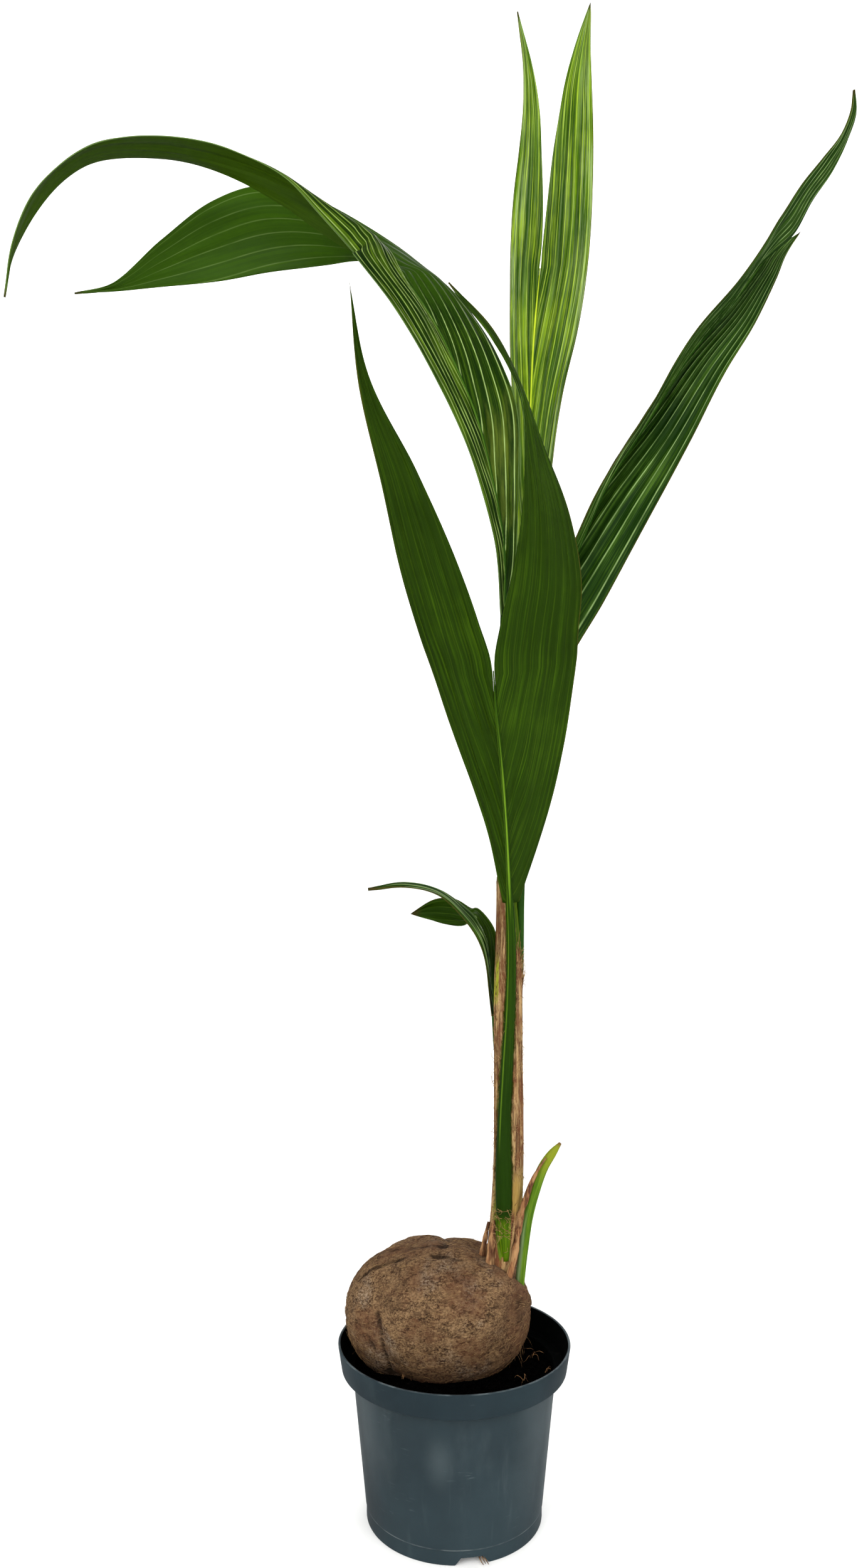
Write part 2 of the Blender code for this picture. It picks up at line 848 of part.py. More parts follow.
make_tube("leaf_stem", STEM, STEM_SIDES, "sheath_fibre", stem_cuts)
make_tube("side_shoot", SIDE_SHOOT, STALK_SIDES, "young_shoot", [husk_cut])
make_tube("foot_scale", FOOT_SCALE, STALK_SIDES, "sheath_fibre", [husk_cut])
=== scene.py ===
import itertools
import math

import bmesh
import bpy
import numpy as np
from mathutils import Euler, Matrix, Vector
from mathutils.bvhtree import BVHTree


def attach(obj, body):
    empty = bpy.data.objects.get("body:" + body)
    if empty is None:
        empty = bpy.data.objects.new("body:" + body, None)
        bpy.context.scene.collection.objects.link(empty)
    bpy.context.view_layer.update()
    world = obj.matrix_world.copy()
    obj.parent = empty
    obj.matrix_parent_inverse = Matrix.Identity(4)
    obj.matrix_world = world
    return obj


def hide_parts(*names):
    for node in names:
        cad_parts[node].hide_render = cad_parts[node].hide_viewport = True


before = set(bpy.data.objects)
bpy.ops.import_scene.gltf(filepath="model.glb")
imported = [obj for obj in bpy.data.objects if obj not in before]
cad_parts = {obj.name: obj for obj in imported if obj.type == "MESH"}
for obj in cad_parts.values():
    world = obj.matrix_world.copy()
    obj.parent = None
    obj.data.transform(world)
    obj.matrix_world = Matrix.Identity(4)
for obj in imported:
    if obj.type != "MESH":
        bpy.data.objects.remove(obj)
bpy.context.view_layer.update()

MM = 0.001

# Camera: its place, its lens for a 36 mm frame height, and its upward shift
CAMERA_PLACE = (-0.021, -0.960, 0.5677)
CAMERA_LENS = 26.856
CAMERA_SHIFT = 0.0221

# Leaves: spacing of the rows of points, points across one pleat, blade thickness, and how far
# before and after a place its heading is read
ROW_STEP = 0.0032
PLEAT_POINTS = 8
BLADE_THICK = 0.00075
TURN_REACH = 0.016
# Direction in which the photo looks
VIEW = np.array((0.0, 1.0, 0.0))

# Pot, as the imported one
POT_HEIGHT = 0.141
RIM_RADIUS = 0.095
COLLAR_HEIGHT = 0.0205
COLLAR_FOOT_RADIUS = 0.0918
WALL_TOP_RADIUS = 0.0832
WALL_FOOT_RADIUS = 0.0722
FOOT_RADIUS = 0.0716
FOOT_HEIGHT = 0.0120
WALL = 0.0020
FLOOR = 0.0090
CHANNEL_COUNT = 3
CHANNEL_TURN = math.radians(10)
CHANNEL_FOOT_WIDTH = 0.030
CHANNEL_TOP_WIDTH = 0.017
CHANNEL_HEIGHT = 0.0060
CHANNEL_START = 0.030
DRAIN_RADIUS = 0.0055
DRAIN_PLACE = 0.046
DRAIN_STEPS = 40
POT_STEPS = 168
COLLAR_STEP = POT_HEIGHT - COLLAR_HEIGHT

# Soil: height of its top, rings of points on it, and points round it
SOIL_TOP = 0.118
SOIL_RINGS = 70
SOIL_STEPS = 260

# Painted highlights: soft paler bands of the wall, by place and width in radians to the right of the front,
# share, and heights
PAINTED_HIGHLIGHT_BANDS = (
    (-1.12, 0.42, 0.20, 0.020, 0.100), (0.98, 0.52, 0.16, 0.000, 0.100), (1.32, 0.26, 0.34, -0.02, 0.060),
    (-1.45, 0.24, 0.24, 0.000, 0.060), (2.30, 0.50, 0.22, 0.020, 0.090), (-2.60, 0.40, 0.18, 0.020, 0.090),
)

# Dry root threads on the soil: right, back and length in mm, and how many
ROOT_THREADS = (
    (77, 24, 16, 4), (64, 15, 9, 3), (74, -9, 8, 3), (57, -28, 10, 3), (-40, -27, 8, 3), (70, 32, 9, 2),
)

# Husk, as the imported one
HUSK_CENTRE = np.array((-0.0135, 0.012, 0.160))
HUSK_HALVES = np.array((0.0765, 0.055, 0.060))
HUSK_SQUARENESS = 2.12
HUSK_TURN = Euler((0.0, math.radians(-5), math.radians(-6))).to_quaternion()
HUSK_AXES = np.array(HUSK_TURN.to_matrix())
# Seams of the husk: two directions that a seam passes, its depth as a share and its width in radians
HUSK_SEAMS = (
    ((0.74, -0.21, 0.63), (-0.55, 0.21, 0.80), 0.045, 0.13),
    ((0.74, -0.21, 0.63), (0.19, 0.37, 0.91), 0.075, 0.16),
    ((-0.75, -0.47, 0.50), (-0.70, -0.65, -0.29), 0.060, 0.20),
)
# Front lobe before the stem's foot: places and widths in degrees along and round the husk
LOBE_ALONG = 35
LOBE_ALONG_WIDTH = 25
LOBE_ROUND = 47
LOBE_FRONT_WIDTH = 38
LOBE_BACK_WIDTH = 20
LOBE_HEIGHT = 0.0122
# Creases of the fine husk: places in mm, then width and depth in mm
HUSK_CREASES = (
    (((32, 6, 204), (8, -18, 210), (-13, -13, 215), (-43, -5, 208), (-64, -1, 200), (-79, 2, 189)), 2.2, 1.6),
    (((-13, -12, 214), (-6, 4, 218), (-4, 16, 219), (-8, 30, 215), (-14, 44, 204)), 5.0, 3.2),
    (((-63, -23, 171), (-60, -26, 162), (-54, -24, 134), (-51, -18, 121)), 3.2, 2.2),
    (((5, -35, 128), (22, -31, 132), (45, -20, 137)), 1.2, 1.2),
    (((14, -20, 113), (31, -11, 116)), 1.2, 1.0),
    (((30, -38, 172), (41, -32, 169), (50, -22, 160)), 1.3, 0.5),
    (((-84, -7, 162), (-71, -20, 157), (-64, -23, 143)), 2.4, 1.0),
)
HUSK_RINGS = 230
HUSK_STEPS = 340

# Stem and shoot: right, back, up and radius in mm
STEM = (
    (33, -8, 184, 11.6), (38, -8, 213, 11.8), (42, -8, 244, 12.2), (44, -8, 285, 12.0), (44, -8, 366, 11.4),
    (44, -7, 417, 11.2), (44.5, -5, 458, 10.6), (43.5, -1, 505, 8.2), (43, 1, 527, 7.8),
)
STEM_STEPS = 144
SIDE_SHOOT = (
    (52, -7, 176, 3.8), (54, -8, 197, 3.9), (56.5, -10, 222, 4.1), (59.5, -13, 246, 4.3),
    (64.5, -16, 267, 4.3), (72, -18, 288, 4.0), (79, -19, 299, 3.2), (85, -20, 307, 1.2),
)
# Dry strips at the foot of the stem and on the shoot's left: name, node that the strip stands for, rows
# of right, back, up and half width in mm, curl and seed
STRIPS = (
    ("foot_strip", ("foot_scale",),
     ((20, -9, 192, 3.0), (22, -9, 208, 2.8), (24.6, -9, 224, 2.2), (28, -9, 240, 1.0)), 0.5, 56),
    ("shoot_strip", (),
     ((48.7, -14, 206, 1.6), (50.2, -16, 226, 2.3), (52.4, -18.6, 246, 2.6), (57.6, -20.6, 263.5, 2.2),
      (62.2, -22, 277.2, 1.7), (66.8, -22.6, 286.4, 1.2), (73.2, -22.8, 296.0, 0.5)), 0.6, 61),
    ("left_foot_strip", (),
     ((28.6, -17.6, 200, 3.0), (28.8, -18.2, 214, 3.2), (30, -18.2, 228, 2.5), (31.8, -17.4, 244, 0.8)),
     0.6, 62),
    ("right_foot_strip", (),
     ((43, -21.5, 199, 2.6), (47, -21, 212, 2.8), (49.8, -19.4, 226, 2.2), (51.5, -18, 242, 0.8)), 0.6, 64),
)
# Opening of the sheath: height in metres, left and right edge in degrees round the stem
SHEATH_OPENING = np.array((
    (0.2115, 84, 84), (0.222, 64, 92), (0.235, 44, 99), (0.250, 30, 102), (0.268, 31, 102), (0.300, 33, 99),
    (0.330, 38, 96), (0.367, 53, 105), (0.424, 75, 118), (0.470, 75, 118),
))
# Torn top of the sheath: its height at the back and left, its height and its fall to the right
SHEATH_TOP = 0.512
SHEATH_RIGHT_TOP = 0.470
SHEATH_FALL = 0.034

# Fronds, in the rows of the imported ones, in mm and degrees. "rib" is the count of stalk rows that carry
# the blade, "tip" is how far the rib runs past the fork, "faces" is 1 where the upper side is seen and
# -1 where the underside is, and "thick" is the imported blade's thickness.
FRONDS = {
    "frond_front": {
        "rib": 5, "tip": 5, "faces": -1, "thick": 5.6,
        "stalk": ((41, -17, 212, 3.2), (40, -19, 236, 5.4), (39.5, -21, 268, 6.6), (40, -21, 329, 5.2),
                  (42, -20, 367, 4.9), (45, -19, 424, 4.1), (45.5, -21, 470, 3.7), (44, -25, 500, 3.6),
                  (40, -38, 566, 3.2), (35, -55, 616, 2.9), (31, -67, 647, 2.7), (28, -80, 676, 2.5)),
    },
    "frond_arching": {
        "rib": 7, "tip": 9, "faces": 1, "thick": 5.6,
        "stalk": ((40, -1, 527.5, 3.1), (41, 1, 622, 3.3), (41, 4, 733, 3.4), (40, 6, 795, 3.4),
                  (31, 12, 851, 3.3), (19, 22, 904, 3.1), (6, 34, 942, 2.9), (-15, 52, 994, 2.7),
                  (-45, 70, 1048, 2.5)),
    },
    "frond_upright": {
        "rib": 5, "tip": 0, "faces": 1, "thick": 5.6,
        "stalk": ((45.5, 4.5, 527.5, 2.9), (52, 12, 623, 3.1), (61, 25, 739, 3.2), (65, 38, 837, 3.0),
                  (67, 49, 926, 2.8), (70, 53, 982, 2.6), (76, 57, 1046, 2.4)),
    },
    "frond_right": {
        "rib": 9, "tip": 15, "faces": 1, "thick": 5.6,
        "stalk": ((53, -4, 398, 2.0), (54, -3, 458, 3.0), (54.5, -2, 501, 3.1), (58, 0, 576, 3.2),
                  (65, 4, 648, 3.5), (75, 9, 703, 3.6), (89, 15, 756, 3.7), (106, 21, 798, 3.8),
                  (126, 27, 843, 3.8), (165, 37, 906, 3.8), (203, 46, 966, 3.7), (239, 53, 1010, 3.6),
                  (265, 58, 1045, 3.6)),
    },
    "frond_small": {
        "rib": 5, "tip": 4, "faces": 1, "thick": 3.0,
        "stalk": ((37, 2.5, 348, 1.6), (34.5, 6, 380, 1.9), (33, 8, 405, 2.0), (31, 9, 428, 2.0),
                  (29, 8, 452, 2.0), (25, 5, 472, 1.9), (17, 0, 487, 1.8)),
    },
}
# Halves of the blades: +1 or -1 for the side of the rib, count of CAD nodes, count of pleats and their
# height. "calm" flattens the pleats of the lobe. The lobe's rows are places of its inner edge. The rows
# across are the width, its turn round the rib and the bulge, first along the rib and then along the lobe.
HALVES = {
    "frond_front_left": {
        "side": 1, "nodes": 1, "pleats": 6.5, "height": 0.9,
        "lobe": ((16, -97, 713), (-7, -125, 767), (-29, -148, 809), (-61, -180, 865), (-72, -205, 915)),
        "across": ((3, -45, 0), (18, -42, 1), (33, -38, 2), (43, -37, 2), (51, -36, 2), (49, -35, 2),
                   (40, -32, 2), (25, -28, 1), (5, -22, 0), (0.8, -20, 0)),
    },
    "frond_front_right": {
        "side": -1, "nodes": 1, "pleats": 9.5, "height": 0.45,
        "lobe": ((32, -97, 713), (38, -110, 741), (44, -130, 779), (45, -150, 824), (42, -163, 856),
                 (21, -182, 888), (-8, -200, 916)),
        "across": ((5, 214, 0), (39, 211, -1), (57, 207, -2), (65, 205, -2), (70, 205, -2), (63, 205, -2),
                   (57, 206, -2), (47, 221, -2), (37, 244, -1), (27, 255, 0), (15, 243, 0), (0.8, 240, 0)),
    },
    "frond_arching_near": {
        "side": 1, "nodes": 3, "pleats": 10.5, "height": 1.1, "calm": 0.9,
        "lobe": ((-65, 84, 1071), (-91, 84, 1075), (-114, 84, 1088), (-148, 84, 1112), (-191, 82, 1135),
                 (-255, 76, 1151), (-321, 66, 1141), (-364, 54, 1091), (-378, 49, 1056), (-385, 44, 1015)),
        "across": ((8, 78, 0), (20, 71, 0), (32, 66, 0), (42, 59, 1), (51, 58, 2), (56, 56, 4), (56, 53, 9),
                   (44, 58, 17), (33, 73, 21), (30, 90, 18), (38, 99, 9), (42, 94, 3), (42, 84, 1),
                   (36, 76, 2), (22, 78, 1), (12, 77, 0), (0.8, 75, 0)),
    },
    "frond_arching_far": {
        "side": -1, "nodes": 2, "pleats": 6.5, "height": 1.1, "calm": 0.9,
        "lobe": ((-61, 80, 1057), (-79, 88, 1066), (-112, 98, 1068), (-163, 108, 1067), (-214, 114, 1061),
                 (-264, 116, 1057), (-314, 114, 1051), (-345, 110, 1048)),
        "across": ((5, 215, 0), (11, 210, 0), (22, 200, 0), (33, 189, 0), (38, 196, -1), (46, 213, -2),
                   (54, 232, -3), (59, 234, -3), (63, 228, -3), (69, 205, -3), (82, 188, -3), (76, 187, -2),
                   (46, 192, -1), (5, 200, 0), (0.8, 200, 0)),
    },
    "frond_upright_left": {
        "side": 1, "nodes": 1, "pleats": 4.5, "height": 0.8,
        "lobe": ((78, 57, 1110), (77, 55, 1145), (75, 53, 1180), (68, 51, 1222), (56, 49, 1264)),
        "across": ((5, 32, 0), (14.5, 32, 0), (17, 33, 0), (22.5, 33, 1), (29, 33, 1), (26, 31, 1),
                   (20, 29, 1), (13.5, 27, 0), (5.5, 24, 0), (0.8, 24, 0)),
    },
    "frond_upright_right": {
        "side": -1, "nodes": 1, "pleats": 6.5, "height": 0.9,
        "lobe": ((84, 61, 1121), (90, 63, 1167), (98, 65, 1212), (110, 67, 1254), (121, 67, 1284)),
        "across": ((6, 146, 0), (15, 147, 0), (27, 149, 0), (37, 152, -1), (41, 154, -1), (37, 156, -1),
                   (31, 159, -1), (22, 161, -1), (9, 163, 0), (0.8, 165, 0)),
    },
    "frond_right_left": {
        "side": 1, "nodes": 2, "pleats": 6.5, "height": 0.8,
        "lobe": ((280, 61, 1061), (297, 64, 1077), (315, 66, 1110), (333, 68, 1136), (347, 70, 1165),
                 (355, 71, 1190), (354, 71, 1210)),
        "across": ((5, 62, 0), (14, 66, 0), (20, 74, 0), (26, 80, 0), (30, 84, 0), (33, 84, 0), (34, 83, 0),
                   (34, 83, 0), (34, 80, 0), (31, 69, 0), (26, 55, 0), (17, 51, 0), (12, 41, 0), (6, 50, 0),
                   (3.5, 50, 0), (0.8, 50, 0)),
    },
    "frond_right_right": {
        "side": -1, "nodes": 1, "pleats": 8.5, "height": 1.0,
        "lobe": ((284, 66, 1068), (308, 74, 1087)),
        "across": ((6, 164, 0), (18, 162, 0), (33.5, 160, -1), (38.5, 160, -2), (42.5, 160, -2),
                   (38, 160, -2), (32, 160, -1), (23.5, 161, -1), (14.5, 163, -1), (6.5, 168, 0),
                   (0.8, 170, 0)),
    },
    "frond_small_near": {
        "side": 1, "nodes": 2, "pleats": 5.5, "height": 0.5,
        "lobe": ((5, -4, 498), (-14, -8, 510), (-41, -12, 516), (-70, -15, 511)),
        "across": ((2.2, 70, 0), (11, 79, 0), (17, 79, 0), (21, 76, 1), (23, 74, 2), (22, 77, 2),
                   (20, 83, 2), (14, 80, 1), (0.8, 85, 0)),
    },
    "frond_small_far": {
        "side": -1, "nodes": 1, "pleats": 4.5, "height": 0.5,
        "lobe": ((11, 4, 480), (-8, 10, 480), (-22, 12, 484), (-36, 14, 488)),
        "across": ((4, 200, 0), (8, 210, 0), (11, 220, 0), (13, 232, 0), (18, 254, 0), (21, 242, 0),
                   (24, 215, 0), (15, 190, 0), (0.8, 190, 0)),
    },
}


# Numbers

def tone(red, green, blue):
    """A colour from its 0 to 255 screen values, as light."""
    shares = [part / 255 for part in (red, green, blue)]
    lit = [part / 12.92 if part <= 0.04045 else ((part + 0.055) / 1.055) ** 2.4 for part in shares]
    return (*lit, 1.0)


def ramp(values, low, high):
    """From 0 at low to 1 at high, smoothly."""
    share = np.clip((np.asarray(values, dtype=float) - low) / (high - low), 0.0, 1.0)
    return share * share * (3 - 2 * share)


def smooth_noise(points, size, seed):
    """Noise from -1 to 1 at points, with features of about a size."""
    table = np.random.default_rng(seed).uniform(-1.0, 1.0, (32, 32, 32))
    scaled = np.asarray(points, dtype=float) / size
    base = np.floor(scaled).astype(int)
    share = scaled - base
    share = share * share * (3 - 2 * share)
    total = np.zeros(scaled.shape[:-1])
    for corner in itertools.product((0, 1), repeat=3):
        index = (base + corner) % 32
        weight = np.prod(np.where(corner, share, 1 - share), axis=-1)
        total += weight * table[index[..., 0], index[..., 1], index[..., 2]]
    return total


def rough_noise(points, size, seed, octaves=4, fade=0.55):
    """Noise with finer and finer features."""
    total = np.zeros(np.asarray(points).shape[:-1])
    for octave in range(octaves):
        total += fade ** octave * smooth_noise(points, size / 2 ** octave, seed + octave)
    return total


def distances(points):
    """Distance of each row along the straight lines between the rows."""
    steps = np.linalg.norm(np.diff(points[:, :3], axis=0), axis=1)
    return np.concatenate(([0.0], np.cumsum(steps)))


def read_smooth(rows, knots, slopes, places):
    """Rows read along a smooth curve through given rows with given slopes."""
    index = np.clip(np.searchsorted(knots, places, side="right") - 1, 0, len(knots) - 2)
    span = (knots[index + 1] - knots[index])[:, None]
    share = (places - knots[index])[:, None] / span
    square = share * share
    cube = square * share
    start = (2 * cube - 3 * square + 1) * rows[index]
    start_slope = (cube - 2 * square + share) * span * slopes[index]
    end = (3 * square - 2 * cube) * rows[index + 1]
    end_slope = (cube - square) * span * slopes[index + 1]
    return start + start_slope + end + end_slope


def spaced(start, end, step):
    """Even places from start to end, about a step apart."""
    return np.linspace(start, end, max(2, round((end - start) / step) + 1))


def unit(rows):
    """Rows scaled to length one."""
    return rows / np.linalg.norm(rows, axis=-1, keepdims=True)


def around(steps):
    """Even angles round a full turn."""
    return np.linspace(0.0, math.tau, steps, endpoint=False)


def shares(count):
    """Even shares from 0 to 1."""
    return np.linspace(0.0, 1.0, count)


def stacked(*parts):
    """Places from their parts, which may be single numbers or grids."""
    return np.stack(np.broadcast_arrays(*parts), -1)


def with_ends(numbers, first=0.0, last=0.0):
    """Numbers for each point of a closed tube, its two end points last."""
    return np.concatenate((np.ravel(numbers), (first, last)))


class Curve:
    """A smooth curve through rows of millimetres, read in metres."""

    def __init__(self, rows):
        self.rows = np.array(rows, dtype=float) * MM
        self.knots = distances(self.rows)
        self.slopes = np.gradient(self.rows, self.knots, axis=0)
        self.length = self.knots[-1]

    def read(self, places):
        """Rows at distances along the curve."""
        return read_smooth(self.rows, self.knots, self.slopes, places)


def smooth_rows(rows, step):
    """Rows of a curve, about a step apart, with their distances."""
    curve = Curve(rows)
    places = spaced(0.0, curve.length, step)
    return curve.read(places), places


# Meshes

def add_mesh(name, points, faces, looks, slots=None, values=None):
    """A piece from points and faces, with its materials and its values for each point."""
    mesh = bpy.data.meshes.new(name)
    mesh.from_pydata(np.asarray(points).reshape(-1, 3).tolist(), [], [tuple(face) for face in faces])
    for look in looks:
        mesh.materials.append(look)
    if slots is not None:
        mesh.polygons.foreach_set("material_index", np.asarray(slots, dtype=np.int32))
    for key, numbers in (values or {}).items():
        layer = mesh.attributes.new(key, "FLOAT", "POINT")
        layer.data.foreach_set("value", np.asarray(numbers, dtype=np.float32).ravel())
    mesh.polygons.foreach_set("use_smooth", [True] * len(mesh.polygons))
    mesh.update()
    piece = bpy.data.objects.new(name, mesh)
    bpy.context.scene.collection.objects.link(piece)
    return piece


def outward_faces(piece):
    """Turn every face of a closed piece to its outside."""
    shape = bmesh.new()
    shape.from_mesh(piece.data)
    bmesh.ops.recalc_face_normals(shape, faces=shape.faces)
    shape.to_mesh(piece.data)
    shape.free()


def settle(piece, slot, *nodes):
    """The piece rides on the plant and stands for CAD nodes. Its slot is not used."""
    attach(piece, "root")
    if nodes:
        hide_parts(*nodes)


def add_closed(name, points, faces, look, slot, *nodes, values=None):
    """A closed piece, its faces turned out, settled on the plant."""
    piece = add_mesh(name, points, faces, [look], values=values)
    outward_faces(piece)
    settle(piece, slot, *nodes)
    return piece


def grid_faces(rows, columns, closed=False, first=0):
    """Faces over a grid of points, numbered row by row."""
    index = np.arange(rows * columns).reshape(rows, columns) + first
    beside = np.roll(index, -1, axis=1) if closed else index[:, 1:]
    near = index if closed else index[:, :-1]
    grid = np.stack((near[:-1], beside[:-1], beside[1:], near[1:]), axis=-1)
    return grid.reshape(-1, 4)


def capped_faces(rows, steps):
    """Faces over rings of points, and one face over the first and over the last ring."""
    last = (rows - 1) * steps
    faces = grid_faces(rows, steps, closed=True).tolist()
    return faces + [range(steps), range(last + steps - 1, last - 1, -1)]


def shell(front, back):
    """Points, faces and sides of a thin closed blade between two grids of points."""
    rows, columns = front.shape[:2]
    count = rows * columns
    over = grid_faces(rows, columns)
    under = grid_faces(rows, columns, first=count)[:, ::-1]
    index = np.arange(count).reshape(rows, columns)
    rim = np.concatenate((index[0, :-1], index[:-1, -1], index[-1, :0:-1], index[:0:-1, 0]))
    after = np.roll(rim, -1)
    edge = np.stack((rim, rim + count, after + count, after), axis=-1)
    faces = np.concatenate((over, under, edge))
    sides = np.repeat((0, 1, 1), (len(over), len(under), len(edge)))
    return np.concatenate((front.reshape(-1, 3), back.reshape(-1, 3))), faces, sides


def ring_axes(route):
    """Directions beside and in front of each place of a route."""
    ahead = unit(np.gradient(route, axis=0))
    beside = unit(np.cross(ahead, VIEW))
    return beside, np.cross(ahead, beside)


def rings(beside, front, steps):
    """Directions round each place of a route, from its direction beside to the one in front."""
    angles = around(steps)[None, :, None]
    return np.cos(angles) * beside[:, None] + np.sin(angles) * front[:, None]


def tube_points(rows, steps, shape):
    """Rings of points round a route of place and radius. Angle 0 is the left, 90 the front."""
    radii = shape(rows, around(steps), rows[:, 3][:, None] * np.ones(steps))
    return rows[:, None, :3] + radii[..., None] * rings(*ring_axes(rows[:, :3]), steps)


def closed_tube(points):
    """Points and faces of a tube with both ends closed by fans."""
    rows, steps = points.shape[:2]
    faces = grid_faces(rows, steps, closed=True).tolist()
    ends = np.stack((points[0].mean(axis=0), points[-1].mean(axis=0)))
    count = rows * steps
    for step in range(steps):
        after = (step + 1) % steps
        faces.append((count, after, step))
        faces.append((count + 1, count - steps + step, count - steps + after))
    return np.concatenate((points.reshape(-1, 3), ends)), faces


def add_threads(name, routes, radius, look, slot, sides=3):
    """Many fine threads in one mesh. Each route is a row of points, and its end is thinner."""
    points = []
    faces = []
    count = 0
    for route in routes:
        route = np.asarray(route, dtype=float)
        radii = radius * (1.0 - 0.65 * shares(len(route)))
        ahead = unit(np.gradient(route, axis=0))
        aside = np.where(np.abs(ahead[:, 2:]) < 0.8, (0.0, 0.0, 1.0), (1.0, 0.0, 0.0))
        beside = unit(np.cross(ahead, aside))
        ring = rings(beside, np.cross(ahead, beside), sides)
        tube, tube_faces = closed_tube(route[:, None] + radii[:, None, None] * ring)
        points.append(tube)
        faces += [[corner + count for corner in face] for face in tube_faces]
        count += len(tube)
    settle(add_mesh(name, np.concatenate(points), faces, [look]), slot)


# Materials

class Look:
    """A procedural material, put together node by node. Its colour grows coat by coat."""

    def __init__(self, name, roughness=0.5, specular=0.5):
        self.material = bpy.data.materials.new(name)
        self.material.use_nodes = True
        self.tree = self.material.node_tree
        self.shader = self.tree.nodes["Principled BSDF"]
        self.shader.inputs["Roughness"].default_value = roughness
        self.shader.inputs["Specular IOR Level"].default_value = specular
        self.colour = None

    def add(self, kind, feeds=None, **settings):
        """A node with its settings and what feeds it."""
        node = self.tree.nodes.new(kind)
        for key, value in settings.items():
            setattr(node, key, value)
        for key, value in (feeds or {}).items():
            self.feed(node.inputs[key], value)
        return node

    def feed(self, socket, value):
        """Link a socket, or set it. A colour is told by its screen values."""
        if isinstance(value, bpy.types.NodeSocket):
            self.tree.links.new(value, socket)
        elif socket.type == "RGBA":
            socket.default_value = tone(*value)
        else:
            socket.default_value = value

    def place(self, stretch=(1, 1, 1), turn=(0, 0, 0)):
        """Object coordinates, stretched."""
        place = self.add("ShaderNodeTexCoord").outputs["Object"]
        feeds = {"Vector": place, "Scale": stretch, "Rotation": turn}
        return self.add("ShaderNodeMapping", feeds).outputs["Vector"]

    def parts(self):
        """Object coordinates as three numbers."""
        return self.add("ShaderNodeSeparateXYZ", {"Vector": self.place()}).outputs

    def values(self, *names):
        """Numbers that the mesh holds for each of its points."""
        return [self.add("ShaderNodeAttribute", attribute_name=name).outputs["Fac"] for name in names]

    def join(self, right, back=0.0, up=0.0):
        """Three numbers as one place."""
        return self.add("ShaderNodeCombineXYZ", {"X": right, "Y": back, "Z": up}).outputs["Vector"]

    def sum(self, operation, first, second=0.0, third=0.0):
        """A sum of one, two or three numbers."""
        return self.add("ShaderNodeMath", {0: first, 1: second, 2: third}, operation=operation).outputs[0]

    def times(self, first, second):
        """The product of two numbers."""
        return self.sum("MULTIPLY", first, second)

    def sway(self, base, value, share):
        """A number moved by a share of another."""
        return self.sum("MULTIPLY_ADD", value, share, base)

    def off(self, value, centre):
        """How far a number is from a centre."""
        return self.sum("ABSOLUTE", self.sum("SUBTRACT", value, centre))

    def vector(self, operation, *feeds, output=0):
        """A sum of places."""
        return self.add("ShaderNodeVectorMath", dict(enumerate(feeds)), operation=operation).outputs[output]

    def far(self, centre, size):
        """How far a place is from a centre, as a share of a size."""
        away = self.vector("SUBTRACT", self.place(), centre)
        return self.vector("LENGTH", self.vector("DIVIDE", away, size), output="Value")

    def noise(self, place, scale, detail=4.0, roughness=0.55, distortion=0.0, output="Fac"):
        """Cloudy noise from 0 to 1."""
        feeds = {"Vector": place, "Scale": scale, "Detail": detail, "Roughness": roughness}
        return self.add("ShaderNodeTexNoise", {**feeds, "Distortion": distortion}).outputs[output]

    def lines(self, across, across_scale, along, along_scale, detail, roughness=0.55, shift=0.0):
        """Noise drawn out along a piece."""
        place = self.join(self.times(across, across_scale), self.times(along, along_scale), shift)
        return self.noise(place, 1.0, detail, roughness)

    def cells(self, place, scale, feature="F1"):
        """Distances in a pattern of cells."""
        feeds = {"Vector": place, "Scale": scale}
        return self.add("ShaderNodeTexVoronoi", feeds, feature=feature).outputs["Distance"]

    def level(self, value, low, high, to_low=0.0, to_high=1.0):
        """A number moved from one range to another, and kept in it."""
        feeds = {"Value": value, "From Min": low, "From Max": high, "To Min": to_low, "To Max": to_high}
        return self.add("ShaderNodeMapRange", feeds, interpolation_type="SMOOTHSTEP").outputs["Result"]

    def mix(self, share, first, second):
        """A mix of two colours."""
        return self.add("ShaderNodeMix", {0: share, 6: first, 7: second}, data_type="RGBA").outputs[2]

    def base(self, value, low, high, first, second):
        """Start the colour as a mix that goes from low to high."""
        self.colour = self.mix(self.level(value, low, high), first, second)

    def cover(self, shade, mask, share=1.0):
        """Cover the colour with another where the mask is high."""
        self.colour = self.mix(self.times(mask, share), self.colour, shade)

    def coat(self, shade, value, low, high, share=1.0):
        """Cover the colour with another, by a share, where a number goes from low to high."""
        self.colour = self.mix(self.level(value, low, high, 0.0, share), self.colour, shade)

    def finish(self, roughness=None, bump=None, strength=0.5, distance=0.001):
        """Feed the shader."""
        self.feed(self.shader.inputs["Base Color"], self.colour)
        if roughness is not None:
            self.feed(self.shader.inputs["Roughness"], roughness)
            feeds = {"Height": bump, "Strength": strength, "Distance": distance}
            self.feed(self.shader.inputs["Normal"], self.add("ShaderNodeBump", feeds).outputs["Normal"])
        return self.material


